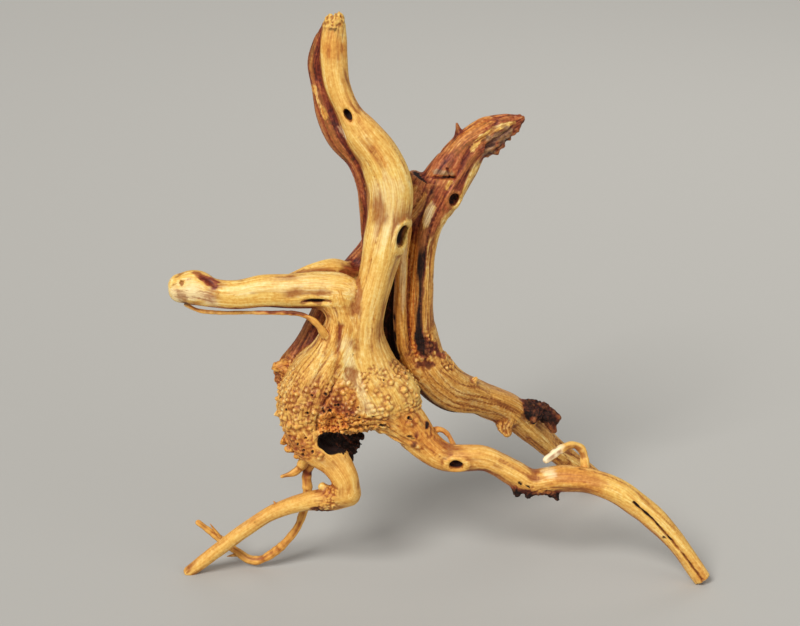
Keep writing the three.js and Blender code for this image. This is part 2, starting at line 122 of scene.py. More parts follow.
# %% Spurs and stumps
SPURS = [  # limb whose grain and age it shares, foot, tip, foot and tip radius in mm
    ("branch", [12, -17, 382], [10, -16, 393], 4.5, 1.0),
    ("crown", [-136, -50, 184], [-145, -52, 186.5], 7.5, 4.5),
    ("crown", [-134, -56, 172], [-141, -60, 171], 7, 4),
    ("crown", [-127, -76, 131.5], [-138, -78, 128.5], 8, 3.5),
    ("crown", [-125, -76, 124.5], [-135, -78, 119.5], 7.5, 3),
    ("crown", [-119, -78, 117], [-128, -78, 113], 6, 2.5),
    ("shin", [-100, -94, 85], [-105, -95, 92], 6.5, 4),
    ("rear_leg", [-6, -32, 187], [2, -33, 188], 4.5, 2),
    ("rear_leg", [2, -26, 177], [8, -29, 180], 4.5, 2),
    ("rear_leg", [25, -12, 154], [29, -15, 160], 4, 1.8),
    ("charred_knot", [97, 29, 103], [102, 30, 91], 6, 3.5),
    ("charred_knot", [78, 25, 117], [77, 24, 122.5], 5.5, 2.5),
    ("charred_knot", [90, 26, 113], [93, 25, 118], 5, 2),
    ("charred_knot", [84, 20, 110], [83, 15, 107], 6, 3),
    ("charred_knot", [65, -86, 91], [63, -90, 83], 7.5, 3),
    ("charred_knot", [74, -87, 86], [73, -91, 82], 7, 3.5),
    ("charred_knot", [92, -86, 86], [98, -88, 78], 7, 3),
    ("hollow_wall", [-86, -47, 126], [-71, -52, 128], 9, 1.5),
    ("hollow_wall", [-84, -46, 120], [-71, -52, 121], 8, 1.2),
    ("hollow_wall", [-84, -44, 114], [-72, -52, 113], 7, 1.2),
    ("hollow_wall", [-84, -42, 108], [-76, -51, 105], 6, 1.2),
    ("hollow_wall", [-84, -42, 104], [-81, -49, 97], 4.5, 1.5),
]
for number, (limb, foot, tip, wide, narrow) in enumerate(SPURS):
    middle = [(p + q) / 2 for p, q in zip(foot, tip)]
    waist = 0.6 * wide + 0.4 * narrow
    rows = [[*foot, wide, wide], [*middle, waist, waist], [*tip, narrow, narrow]]
    THICK[f"spur_{number}"] = {"host": limb, "blend": 2.5, "rows": rows}

# %% Stations of the thin limbs
ROUND_ROWS = {  # x, y, z and radius in mm
    "twig": [
        [-120, -76, 126, 6], [-118, -69, 110, 5.5], [-120, -66, 92, 4.5],
        [-119, -68, 76, 4], [-122, -70, 58, 3.5], [-130, -70, 39.5, 3.4],
        [-144, -68, 21, 3.5], [-160, -67, 9, 3.7], [-172, -65, 8, 3.9],
        [-184, -62, 15, 3.5], [-200, -60, 27, 3.5], [-217, -60, 41, 2.4]],
    "spike": [[-117, -76, 118, 6.5], [-124, -72, 102, 4.5], [-131, -74, 96, 3],
              [-141, -76, 93, 1.5]],
    "rootlet": [
        [-96, -86, 220, 4.5], [-106, -92, 238, 3], [-115, -92, 246, 2.3],
        [-126, -90, 249, 2], [-148, -86, 248, 1.7], [-173, -80, 246, 1.6],
        [-195, -74, 244, 1.6], [-209, -72, 245, 1.7], [-220, -71, 250, 1.5]],
    "curl": [
        [121, -80, 92, 4.8], [122.5, -76, 105, 4], [119.5, -74, 117, 3.6],
        [111.5, -76, 123, 3.5], [101, -81, 121, 3.5], [88, -88, 114, 3.2]],
    "hook": [[-13, -76, 135, 4], [-4, -75, 137, 2.4], [3, -74, 132, 2],
             [8, -76, 122, 2]],
}
THIN = {name: [[*row, row[3]] for row in rows] for name, rows in ROUND_ROWS.items()}

# %% [markdown]
# ## From stations to a path
# A Catmull-Rom curve passes through every station, so the stations can be read straight off the
# real root. The same blend that gives the axis also gives the width and the depth on the way.

# %% Path helper
SAMPLE = 2.0  # mm between the samples of a limb's axis
FINE_STEPS = 60  # points on each stretch when a curve's length is measured


def path_of(rows, spacing):
    """Catmull-Rom through the stations, in equal steps of length.

    Between stations P1 and P2 a value is half of 2 P1 + (P2 - P0) t
    + (2 P0 - 5 P1 + 4 P2 - P3) t^2 + (3 P1 - P0 - 3 P2 + P3) t^3.
    The side axis is tangent x Y, and the depth axis is side x tangent.
    """
    rows = np.array(rows, float)
    ghost = np.vstack([2 * rows[0] - rows[1], rows, 2 * rows[-1] - rows[-2]])

    def curve(u):
        i = np.minimum(u.astype(int), len(rows) - 2)
        t = (u - i)[:, None]
        p0, p1, p2, p3 = (ghost[i + k] for k in range(4))
        cubic = (3 * p1 - p0 - 3 * p2 + p3) * t**3
        return 0.5 * (2 * p1 + (p2 - p0) * t + (2 * p0 - 5 * p1 + 4 * p2 - p3) * t**2 + cubic)

    fine = np.linspace(0, len(rows) - 1, FINE_STEPS * len(rows))
    length = np.r_[0, np.cumsum(np.linalg.norm(np.diff(curve(fine)[:, :3], axis=0), axis=1))]
    count = max(4, round(length[-1] / spacing) + 1)
    along = np.linspace(0, length[-1], count)
    values = curve(np.interp(along, length, fine))
    tangent = np.gradient(values[:, :3], along, axis=0)
    tangent /= np.linalg.norm(tangent, axis=1, keepdims=True)
    side = np.cross(tangent, [0, 1, 0])
    side /= np.linalg.norm(side, axis=1, keepdims=True)
    return {
        "centre": values[:, :3], "along": along, "tangent": tangent, "side": side,
        "depth": np.cross(side, tangent), "wide": values[:, 3], "deep": values[:, 4],
    }


def section_radius(angle, along, wide, deep, ripple=0.05):
    """An ellipse's radius wide*deep / hypot(deep cos, wide sin), times slow turning lobes."""
    ellipse = wide * deep / np.hypot(deep * np.cos(angle), wide * np.sin(angle))
    lobes = 0.6 * np.cos(3 * angle + 0.021 * along) + 0.4 * np.cos(5 * angle - 0.034 * along + 1)
    return ellipse * (1 + ripple * lobes)


paths = {name: path_of(limb["rows"], SAMPLE) for name, limb in THICK.items()}
print("axis samples:", sum(len(path["along"]) for path in paths.values()))

# %% [markdown]
# ## Tubes, and one skin round them
# Each limb becomes a closed tube: its section carried along its path. The tubes overlap like
# fingers in a fist. A voxel remesh then shrinks one even skin round all of them, which is how a
# sculptor would fuse rough forms before detailing.

# %% Tubes
ROUND_END = (0.5, 0.9, 1.25)  # radians towards the pole, for the rings that close a round end
SIDES = 40  # corners of a thick limb's section
VOXEL = 1.7  # mm


def closed_faces(rings, sides):
    """Four-sided faces between rings of points, and one face over each end."""
    a = np.arange(rings - 1)[:, None] * sides + np.arange(sides)
    b = np.roll(a, -1, axis=1)
    quads = np.stack([a, a + sides, b + sides, b], -1).reshape(-1, 4).tolist()
    last = (rings - 1) * sides
    return quads + [list(range(sides)), list(range(last, last + sides))[::-1]]


def tube(path, sides, ripple=0.05, sawn=False):
    """Vertices c + side r cos(a) + depth r sin(a), on rings along the path, closed at both ends.

    A round end adds rings pushed out by sin(e) of the small radius and shrunk by cos(e).
    """
    rings = [(0, -np.sin(e), np.cos(e)) for e in ROUND_END[::-1]]
    rings += [(i, 0, 1) for i in range(len(path["along"]))]
    if not sawn:
        rings += [(-1, np.sin(e), np.cos(e)) for e in ROUND_END]
    index = np.array([ring[0] for ring in rings])
    push = np.array([ring[1] for ring in rings])
    shrink = np.array([ring[2] for ring in rings])[:, None]
    wide, deep = path["wide"][index, None], path["deep"][index, None]
    small = np.minimum(wide, deep)[:, 0]
    centre = path["centre"][index] + path["tangent"][index] * (push * small)[:, None]
    angle = np.linspace(0, 2 * np.pi, sides, endpoint=False)[None, :]
    radius = section_radius(angle, path["along"][index, None], wide, deep, ripple) * shrink
    points = (
        centre[:, None]
        + path["side"][index, None] * (radius * np.cos(angle))[..., None]
        + path["depth"][index, None] * (radius * np.sin(angle))[..., None]
    )
    return points.reshape(-1, 3), closed_faces(len(index), sides)


def placed(name, data):
    """An object of the scene that shows the given mesh, lamp or camera."""
    made = bpy.data.objects.new(name, data)
    bpy.context.scene.collection.objects.link(made)
    return made


def mesh_object(name, points, faces):
    """A Blender object from points in mm, with its faces turned outwards."""
    mesh = bpy.data.meshes.new(name)
    mesh.from_pydata((points * MM).tolist(), [], faces)
    loose = bmesh.new()
    loose.from_mesh(mesh)
    bmesh.ops.recalc_face_normals(loose, faces=loose.faces)
    loose.to_mesh(mesh)
    loose.free()
    return placed(name, mesh)


def finished(made, **modifiers):
    """Applies modifiers, given as TYPE=settings, by swapping in the evaluated mesh."""
    for kind, settings in modifiers.items():
        modifier = made.modifiers.new(kind.lower(), kind)
        for key, value in settings.items():
            setattr(modifier, key, value)
    evaluated = made.evaluated_get(bpy.context.evaluated_depsgraph_get())
    mesh = bpy.data.meshes.new_from_object(evaluated)
    made.modifiers.clear()
    old, made.data = made.data, mesh
    bpy.data.meshes.remove(old)
    return made


all_points, all_faces, start = [], [], 0
for name, limb in THICK.items():
    points, faces = tube(paths[name], SIDES, sawn=limb.get("end") == "sawn")
    all_points.append(points)
    all_faces += [[v + start for v in face] for face in faces]
    start += len(points)
skin = mesh_object("driftwood_skin", np.vstack(all_points), all_faces)
finished(skin, REMESH={"mode": "VOXEL", "voxel_size": VOXEL * MM})
print("skin after the first remesh:", len(skin.data.polygons), "faces")

# %% [markdown]
# ## Noise
# Weathered wood is irregular at every size. Value noise is the simplest way to that: a random
# number at each whole-number point of space, and a smooth blend between them.

# %% Noise helpers
PRIMES = (73856093, 19349663, 83492791, 15485863)  # they scatter the numbers at the corners


def ramp(distance, length=1.0):
    """0 below distance 0, then straight up to 1 at the given length."""
    return np.clip(distance / length, 0, 1)


def value_noise(points, seed=0):
    """Random values from -1 to 1 at lattice corners, blended by t^2 (3 - 2 t) on each axis."""
    cell = np.floor(points).astype(np.int64)
    t = points - cell
    t = t * t * (3 - 2 * t)
    total = np.zeros(len(points))
    for corner in np.ndindex(2, 2, 2):
        x, y, z = (cell + corner).T
        mixed = (x * PRIMES[0]) ^ (y * PRIMES[1]) ^ (z * PRIMES[2]) ^ ((seed + 11) * PRIMES[3])
        mixed = (mixed ^ (mixed >> 13)) * 1274126177 & 0xFFFFFFFF
        mixed = (mixed ^ (mixed >> 16)) & 0xFFFF
        share = np.where(np.array(corner), t, 1 - t).prod(axis=1)
        total += share * (mixed / 32767.5 - 1)
    return total


def rough_noise(points, octaves, seed=0):
    """Sum of value noise at doubling frequency and halving strength."""
    total, strength = 0, 1.0
    for octave in range(octaves):
        total = total + strength * value_noise(points * 2**octave + 17.3 * octave, seed + octave)
        strength /= 2
    return total / 1.6


def lumps(points, size, seed):
    """Rounded cells: 1 at a scattered centre and 0 at its rim, one centre in each cube of space."""
    cell = np.floor(points / size).astype(np.int64)
    best = np.full(len(points), 9.0)
    for step in np.ndindex(3, 3, 3):
        corner = cell + np.array(step) - 1
        jitter = np.stack([value_noise(corner + 0.0, seed + axis) for axis in range(3)], -1)
        centre = (corner + 0.5 + 0.35 * jitter) * size
        best = np.minimum(best, np.linalg.norm(points - centre, axis=1) / size)
    return ramp(1 - best * 1.7) ** 0.6


# %% [markdown]
# ## Hollows and knot holes
# The rotten hollow under the crown and the knot holes are scooped out with ellipsoids. Each is
# `centre, half sizes, turn about the depth axis in degrees, raggedness of its edge`, in mm.

# %% Scoops
HOLLOWS = {
    "rot_pocket": ([-94, -112, 151], [15.5, 20, 14], -25, 1.6),
    "hollow": ([-97, -90, 133], [13, 24, 8.5], -18, 1.5),
    "stem_eye": ([-36, -78, 313], [5.6, 13, 10.5], -12, 0.4),
    "upper_eye": ([-81, -74, 416], [3, 8, 6], 30, 0.2),
    "leg_eye": ([10, -97, 112], [6.8, 9, 4.8], 0, 0.3),
    "branch_eye": ([8, -37, 332], [5, 9, 6], 20, 0.3),
    "knob_groove": ([-205, -83, 279], [14, 6, 3.8], -34, 0.5),
    "knob_eye": ([-222, -82, 272.5], [2.2, 6, 2.4], 0, 0.2),
    "arm_slit": ([-109, -92, 260], [11, 7, 2.2], 0, 0.3),
    "tip_scoop": ([44, -26, 379.5], [12.5, 5.5, 5], 33, 0.4),
}


def turned(x, z, degrees):
    """x and z after a turn about the depth axis: c x - s z and s x + c z."""
    c, s = np.cos(np.radians(degrees)), np.sin(np.radians(degrees))
    return c * x - s * z, s * x + c * z


def hollow_level(points, name):
    """Distance-like value: below 0 inside the ellipsoid, from its own turned coordinates."""
    centre, half, turn, ragged = HOLLOWS[name]
    offset = points - np.array(centre, float)
    x, z = turned(offset[:, 0], offset[:, 2], -turn)
    reach = np.sqrt((x / half[0]) ** 2 + (offset[:, 1] / half[1]) ** 2 + (z / half[2]) ** 2)
    return (reach - 1) * min(half) + ragged * value_noise(points / 4.5, 31)


AROUND, DOWN = 32, 20  # steps of an ellipsoid


def ellipsoid(name):
    """A sphere of AROUND by DOWN steps, stretched to the half sizes and turned."""
    centre, half, turn, _ = HOLLOWS[name]
    u = np.linspace(0, 2 * np.pi, AROUND, endpoint=False)[None, :]
    v = np.linspace(0.06, np.pi - 0.06, DOWN)[:, None]
    x, y = np.sin(v) * np.cos(u) * half[0], np.sin(v) * np.sin(u) * half[1]
    x, z = turned(x, (np.cos(v) + 0 * u) * half[2], turn)
    points = np.stack([x, y, z], -1).reshape(-1, 3) + centre
    return mesh_object(name, points, closed_faces(DOWN, AROUND))


def combine(made, tool, operation):
    """Joins or cuts with another closed mesh, which is then thrown away."""
    finished(made, BOOLEAN={"operation": operation, "solver": "MANIFOLD", "object": tool})
    bpy.data.objects.remove(tool)
    return made


for name in HOLLOWS:
    combine(skin, ellipsoid(name), "DIFFERENCE")
finished(skin, REMESH={"mode": "VOXEL", "voxel_size": VOXEL * MM})
print("skin after the scoops:", len(skin.data.polygons), "faces")

# %% [markdown]
# ## The wood as a field
# Where is the true surface, with soft fillets in the crotches? Each limb gives every point a
# signed distance: its distance from the axis minus the section's radius there. A smooth minimum
# of all of them is the grown-together root. Each skin vertex slides along its normal on to it.
# The same field also says which limb a point belongs to, and how far along the grain it lies.

# %% Limb coordinates
FAR = 30.0  # mm: beyond this a limb has no say
MARGIN = 12  # mm round a limb's box in which its distance is worked out
BLOCK = 20000  # points at a time, which keeps the table of distances small
BLEND = 6.0  # mm, the fillet where a limb names none
LARGEST_STEP = 2  # mm that a point may slide in one round


def limb_coordinates(points, path, sawn):
    """Signed distance, side, depth and length coordinates of each point on one limb.

    Distance = hypot(a, b) - radius(angle). Past a round end the length e beyond it, in units of
    the small radius, joins in: hypot(hypot(a, b) / radius, e) * radius - radius.
    """
    level = np.full(len(points), FAR)
    place = np.zeros((len(points), 3))
    low = path["centre"].min(axis=0) - path["wide"].max() - path["deep"].max() - MARGIN
    high = path["centre"].max(axis=0) + path["wide"].max() + path["deep"].max() + MARGIN
    near = np.flatnonzero(((points > low) & (points < high)).all(axis=1))
    if not len(near):
        return level, place
    p = points[near]
    nearest = np.empty(len(p), int)
    for first in range(0, len(p), BLOCK):
        part = p[first:first + BLOCK]
        square = (path["centre"] ** 2).sum(axis=1)[None, :] - 2 * part @ path["centre"].T
        nearest[first:first + BLOCK] = square.argmin(axis=1)
    offset = p - path["centre"][nearest]
    beyond = (offset * path["tangent"][nearest]).sum(axis=1)
    a = (offset * path["side"][nearest]).sum(axis=1)
    b = (offset * path["depth"][nearest]).sum(axis=1)
    along = path["along"][nearest] + beyond
    wide = np.interp(along, path["along"], path["wide"])
    deep = np.interp(along, path["along"], path["deep"])
    radius = section_radius(np.arctan2(b, a), along, wide, deep)
    past = np.maximum(np.maximum(-along, along - path["along"][-1]), 0) / np.minimum(wide, deep)
    across = np.hypot(a, b)
    distance = np.hypot(across / radius, past) * radius - radius
    if sawn:
        cut = along - path["along"][-1]
        distance = np.where(cut > 0, np.maximum(across - radius, cut), distance)
    level[near] = np.minimum(distance, FAR)
    place[near] = np.stack([a, b, along], -1)
    return level, place


def wood_field(points):
    """The smooth minimum of the limbs' distances, without and with the hollows taken out.

    Two distances p and q with fillet k give min(p, q) - h^2 k / 4, h = max(1 - |p - q| / k, 0).
    """
    levels, places, whole = [], [], None
    for name, limb in THICK.items():
        level, place = limb_coordinates(points, paths[name], limb.get("end") == "sawn")
        levels.append(level)
        places.append(place)
        if whole is None:
            whole = level
            continue
        k = limb.get("blend", BLEND)
        h = ramp(1 - np.abs(whole - level) / k)
        whole = np.minimum(whole, level) - h * h * k / 4
    sound = whole
    for name in HOLLOWS:
        whole = np.maximum(whole, -hollow_level(points, name))
    return whole, sound, np.array(levels), np.array(places)


def read(items, field, kind=int, width=1):
    """One property of every vertex, edge, corner or face, as a flat array."""
    values = np.empty(len(items) * width, kind)
    items.foreach_get(field, values)
    return values


def vertex_data(mesh):
    """Vertex positions in mm and unit normals, as arrays."""
    points = read(mesh.vertices, "co", np.float32, 3).reshape(-1, 3)
    normals = read(mesh.vertex_normals, "vector", np.float32, 3).reshape(-1, 3)
    return points.astype(float) / MM, normals.astype(float)


def set_points(mesh, points):
    """Moves every vertex to its place in mm."""
    mesh.vertices.foreach_set("co", (points * MM).astype(np.float32).ravel())
    mesh.update()


def settle(mesh, rounds):
    """Slides each vertex along its normal by minus the field's value, a few times."""
    for _ in range(rounds):
        points, normals = vertex_data(mesh)
        whole = wood_field(points)[0]
        set_points(mesh, points - normals * np.clip(whole, -LARGEST_STEP, LARGEST_STEP)[:, None])
    print("mean distance before the last round:", round(float(np.abs(whole).mean()), 4), "mm")


settle(skin.data, 2)

# %% [markdown]
# ## Finer faces where the detail is
# The warty crown, the torn tips, the knots and the cracks need smaller faces than a smooth stem.
# Only those faces are split, so that the piece stays light.

# %% Split the detailed regions
CROWN_CENTRE = np.array([-84.0, -62.0, 160.0])
DETAIL_REACH, DETAIL_HALF_HEIGHT = 66, 46  # mm round the crown's centre
CRACK_MARGIN = 3  # mm of fine faces beside a crack
CRACKS = {  # points in mm, half width, depth
    "leg_split": ([[163, -101, 80], [180, -102, 64], [197, -103, 44], [212, -104, 25],
                   [226, -105, 6]], 0.95, 3.2),
    "crown_crack": ([[-94, -104, 188], [-97, -105, 180], [-101, -105, 175], [-104, -105, 166],
                     [-108, -104, 160], [-109, -102, 147]], 1.5, 5.0),
    "rim_crack": ([[-92, -102, 163], [-86, -100, 154], [-80, -98, 148], [-72, -96, 148]], 1.3, 3.5),
    "neck_furrow": ([[-88.5, -95, 238], [-89.5, -97, 218], [-91.5, -100, 200], [-93, -103, 190]], 3.2, 1.8),
    "arm_furrow": ([[-99, -92, 245], [-100, -96, 226], [-104, -100, 204], [-110, -100, 186]], 3.0, 1.2),
    "stub_crack": ([[-20, -38, 352.5], [-12, -37, 351.5], [-2, -37, 352], [8, -36, 351.5]], 1.1, 3.2),
    "stub_cleft": ([[2, -36, 358.5], [4, -36, 352.5]], 0.9, 3.0),
}
FINE_SPOTS = [  # centre and radius in mm
    ([-61, -96, 197], 17), ([-139, -54, 180], 16), ([-208, -84, 275], 17),
    ([-92, -52, 490], 17), ([55, -14, 390], 17), ([-19, -46, 200], 20), ([88, 29, 108], 20),
    ([-97, -100, 88], 17), ([8, -18, 388], 12), ([9, -34, 331], 15), ([-36, -76, 313], 17),
    ([-81, -72, 416], 11), ([10, -94, 112], 14), ([-215, -76, 272], 19), ([-132, -76, 127], 18),
    ([82, -88, 82], 22), ([-4, -38, 352], 22), ([57, 16, 100], 12), ([-80, -48, 114], 20),
    ([5, -30, 182], 16), ([-110, -90, 260], 13), ([40, -24, 380], 15),
]
DEEP = 0.35  # depth counts this much of width, so a line reaches in past a rounded surface


def distance_to_line(points, line, deep=DEEP):
    """Smallest distance from each point to the straight stretches of a bent line."""
    squash = np.array([1, deep, 1])
    points = points * squash
    line = np.array(line, float) * squash
    best = np.full(len(points), 1e9)
    for first, last in zip(line[:-1], line[1:]):
        run = last - first
        t = np.clip((points - first) @ run / (run @ run), 0, 1)
        best = np.minimum(best, np.linalg.norm(points - first - t[:, None] * run, axis=1))
    return best


def needs_detail(points):
    """True on the crown, at the fine spots and along the cracks."""
    offset = points - CROWN_CENTRE
    fine = np.linalg.norm(offset * [1, 1, 0.9], axis=1) < DETAIL_REACH
    fine &= np.abs(offset[:, 2] - 2) < DETAIL_HALF_HEIGHT
    for centre, radius in FINE_SPOTS:
        fine |= np.linalg.norm(points - centre, axis=1) < radius
    for line, width, _ in CRACKS.values():
        fine |= distance_to_line(points, line) < CRACK_MARGIN + width
    return fine


points, _ = vertex_data(skin.data)
fine = needs_detail(points)
work = bmesh.new()
work.from_mesh(skin.data)
work.verts.ensure_lookup_table()
edges = [edge for edge in work.edges if fine[edge.verts[0].index] and fine[edge.verts[1].index]]
bmesh.ops.subdivide_edges(work, edges=edges, cuts=1, use_grid_fill=True)
work.to_mesh(skin.data)
work.free()
settle(skin.data, 1)
print("skin with fine regions:", len(skin.data.polygons), "faces")

# %% [markdown]
# ## Which limb, and what it went through
# `GRAIN` says how deep the fibres stand out on each limb, in mm: worn-smooth sapwood has little,
# the old dark heartwood is deeply grooved. Limbs share a point in proportion to exp(-distance).

# %% Relief along the grain
GRAIN = {
    "stem": 0.3, "heart_strip": 1.1, "arm": 0.35, "neck": 0.75, "shoulder": 0.4, "crown": 0.5,
    "thigh": 0.16, "shin": 0.2, "right_leg": 0.45, "rear_stem": 1.3, "branch": 1.1, "rib": 1.0,
    "back_wall": 1.6, "rear_leg": 0.95, "charred_knot": 1.8, "leg_knob": 1.4, "hollow_wall": 2.0,
}
NAMES = list(THICK)
COARSE, THIN_LINE, WARP = (8, 95), (5.5, 70), (18, 40)  # mm across and along the limb


def host(name):
    """The limb that a spur grows on, or the limb itself."""
    return THICK[name].get("host", name) if name in THICK else name


def shares(levels, softness):
    """Each limb's share of a point, exp(-distance / softness) over the sum for all limbs."""
    weight = np.exp(-(levels - levels.min(axis=0)) / softness)
    return weight / weight.sum(axis=0)


def stretched(a, b, along, size, shift=0):
    """Side and depth over the size across, length over the size along, plus a shift."""
    return np.stack([a / size[0], b / size[0], along / size[1] + shift], -1)


def grain_relief(levels, places):
    """Fibres: noise stretched along the limb, less narrow grooves where a finer one is near 0."""
    weight = shares(levels, 1.6)
    relief = np.zeros(levels.shape[1])
    for i, name in enumerate(NAMES):
        part = np.flatnonzero(weight[i] > 0.02)
        a, b, along = places[i][part].T
        warp = 2.2 * value_noise(stretched(a, b, along, WARP), 40 + i)
        coarse = rough_noise(stretched(a + warp, b + warp, along, COARSE, i), 2, i)
        thin = value_noise(stretched(a + warp, b + warp, along, THIN_LINE), 70 + i)
        amount = 0.8 * coarse - 0.9 * ramp(1 - np.abs(thin) * 4)
        relief[part] += weight[i][part] * GRAIN[host(name)] * amount
    return relief


points, normals = vertex_data(skin.data)
_, _, levels, places = wood_field(points)
relief = rough_noise(points / 30, 2, 3) + grain_relief(levels, places)
print("grain relief from", round(relief.min(), 2), "to", round(relief.max(), 2), "mm")

# %% [markdown]
# ## Bud warts
# The crown grew hundreds of dormant buds. Directions on a golden-angle spiral spread them evenly
# over it. Each is a small blunt cone, or a pit with a raised rim where the bud has fallen out. The
# left half has more pits and is rough between them.

# %% Warts
WARTS = 1150
WARTY_BOTTOM, WARTY_TOP, WARTY_REACH = 114.0, 197.0, 82  # mm
WART_RADIUS = 1.8  # mm, the middle one
SCATTER, SPREAD = 0.022, 0.22  # of the directions, and of the radius as a power of e
WART_SKIRT = 1.15  # a bud ends at this many radii
LEFT_SIDE = -88  # mm, left of which the crown is rough between the warts
GOLDEN_ANGLE = np.pi * (3 - np.sqrt(5))
WART_BLOCK = 8000  # points at a time


def spiral_directions(count):
    """Heights 1 - 2 (i + 1/2) / n, each turned by the golden angle from the one before."""
    i = np.arange(count)
    height = 1 - 2 * (i + 0.5) / count
    flat = np.sqrt(1 - height**2)
    return np.stack([flat * np.cos(GOLDEN_ANGLE * i), flat * np.sin(GOLDEN_ANGLE * i), height], -1)


def wart_zone(points):
    """1 on the warty crown, fading at the neck, on its front ridge and inside the hollow."""
    x, y, z = points.T
    reach = np.linalg.norm(points - CROWN_CENTRE, axis=1)
    wavy_top = WARTY_TOP + 6 * value_noise(points / 14, 5)
    zone = (reach < WARTY_REACH) * ramp(z - WARTY_BOTTOM, 8) * ramp(wavy_top - z, 7)
    ridge_x = -76 + 0.35 * (190 - z)  # the ridge leans to the right on its way down
    ridge = ramp(-y - 70, 15) * np.exp(-(((x - ridge_x) / 6) ** 2)) * ramp(z - 150, 12)
    inside = (hollow_level(points, "hollow") < 1.5) | (hollow_level(points, "rot_pocket") < 1.0)
    leg = ramp(x + 24, 8)
    thigh = ramp(126 - z, 6) * ramp(x + 118, 6)
    rear = ramp(y + 34, 8) * ramp(x + 50, 10)
    return zone * (1 - ridge) * ~inside * (1 - leg) * (1 - rear) * (1 - thigh)


directions = spiral_directions(WARTS) + rng.normal(0, SCATTER, (WARTS, 3))
directions /= np.linalg.norm(directions, axis=1, keepdims=True)
wart_radius = WART_RADIUS * np.exp(rng.normal(0, SPREAD, WARTS))
wart_height = wart_radius * rng.uniform(0.7, 1.5, WARTS)
left_side = ramp(-directions[:, 0] * 1.6 - 0.1)
is_pit = rng.random(WARTS) < 0.07 + 0.13 * left_side
is_missing = ~is_pit & (rng.random(WARTS) < 0.3)
wart_height[is_missing] *= 0.2


def nearest_wart(points):
    """Index of the wart nearest in direction, and the distance to it in units of its radius."""
    offset = points - CROWN_CENTRE
    reach = np.linalg.norm(offset, axis=1)
    index = np.empty(len(points), int)
    cosine = np.empty(len(points))
    for first in range(0, len(points), WART_BLOCK):
        part = slice(first, first + WART_BLOCK)
        table = (offset[part] / reach[part, None]) @ directions.T
        index[part] = table.argmax(axis=1)
        cosine[part] = table.max(axis=1)
    return index, np.arccos(np.clip(cosine, -1, 1)) * reach / wart_radius[index]


zone = wart_zone(points)
part = np.flatnonzero(zone > 0)
index, d = nearest_wart(points[part])
bud = wart_height[index] * ramp(1 - d / WART_SKIRT) ** 0.8
rim = 0.4 * np.exp(-(((d - 0.9) / 0.3) ** 2)) - 0.85 * ramp(1 - d / 0.8) ** 0.5
rough_side = 0.15 + 0.85 * ramp(LEFT_SIDE - points[part, 0], 14)
crag = np.abs(value_noise(points[part] / 3.6, 12))
crag = crag + 0.5 * np.abs(value_noise(points[part] / 1.9, 13))
between = rough_side * (1.3 * rough_noise(points[part] / 7, 2, 6) + 1.3 * (crag - 0.35))
wart_relief = np.zeros(len(points))
wart_relief[part] = zone[part] * (np.where(is_pit[index], rim * wart_radius[index], bud) + between)
print("skin vertices on the warty crown:", len(part))

# %% [markdown]
# ## Knots, clusters, lips and cracks
# Each knot hole has a raised lip where the wood grew round a lost branch. Lumpy clusters sit at
# the foot of the dark branch, on the left shin and on the charred knot. The rot in the crown's
# pocket is spongy, full of small holes.

# %% Local relief
LIPS = {  # height in mm of the swelling round each hole
    "stem_eye": 1.6, "upper_eye": 0.8, "leg_eye": 1.2, "branch_eye": 1.0, "arm_slit": 0.8,
    "knob_eye": 0.4,
}
LIP_PLACE, LIP_WIDTH = 1.8, 1.6  # mm outside the edge of the hole
CLUSTERS = [  # centre, radius, lump size, height, all in mm
    ([-19, -48, 202], 17, 4.2, 3.0),
    ([-98, -104, 92], 9, 2.8, 1.7),
    ([-98, -104, 80], 8, 2.8, 1.7),
    ([-106, -100, 74], 8, 3.6, 2.6),
    ([88, 29, 110], 17, 5.0, 3.6),
    ([-133, -78, 127], 15, 4.2, 2.6),
    ([82, -88, 80], 18, 4.6, 3.0),
    ([5, -34, 186], 13, 4.0, 2.8),
    ([-79, -50, 114], 18, 5.0, 3.6),
    ([-40, -80, 198], 11, 3.6, 2.6),
    ([-68, -98, 194], 7, 3.2, 2.4),
    ([-61, -97, 200], 6, 3.0, 2.2),
    ([-53, -95, 196], 7, 3.2, 2.4),
    ([-14, -88, 140], 9, 4.0, 1.8),
]
SPONGE_CELL = 2.7  # mm
SPONGE_WALL = 2.2  # mm either side of the pocket's surface


def in_sponge(points):
    """1 on the wall of the rot pocket, 0 outside it."""
    near = 1 - np.abs(hollow_level(points, "rot_pocket")) / SPONGE_WALL
    return ramp(near * 1.6) * (hollow_level(points, "hollow") > 0.5)


def crack_distance(points, line):
    """Distance to a crack's line, which wanders by 0.6 mm of noise."""
    return distance_to_line(points, line) + 0.6 * value_noise(points / 5, 61)


local = np.zeros(len(points))
for name, height in LIPS.items():
    local += height * np.exp(-(((hollow_level(points, name) - LIP_PLACE) / LIP_WIDTH) ** 2))
for number, (centre, radius, size, height) in enumerate(CLUSTERS):
    near = np.linalg.norm(points - centre, axis=1)
    part = np.flatnonzero(near < radius)
    fade = ramp((1 - near[part] / radius) * 2.5)
    coarse = 0.6 * lumps(points[part], size, 90 + number) + 0.5 * rough_noise(points[part] / 3, 2, 91)
    local[part] += fade * height * (coarse - 0.2)
sponge = in_sponge(points)
part = np.flatnonzero(sponge > 0)
local[part] += sponge[part] * (1.6 - 2.4 * lumps(points[part], SPONGE_CELL, 77))
for line, width, depth in CRACKS.values():
    local -= depth * np.exp(-((np.maximum(crack_distance(points, line), 0) / width) ** 2))
print("local relief from", round(local.min(), 2), "to", round(local.max(), 2), "mm")

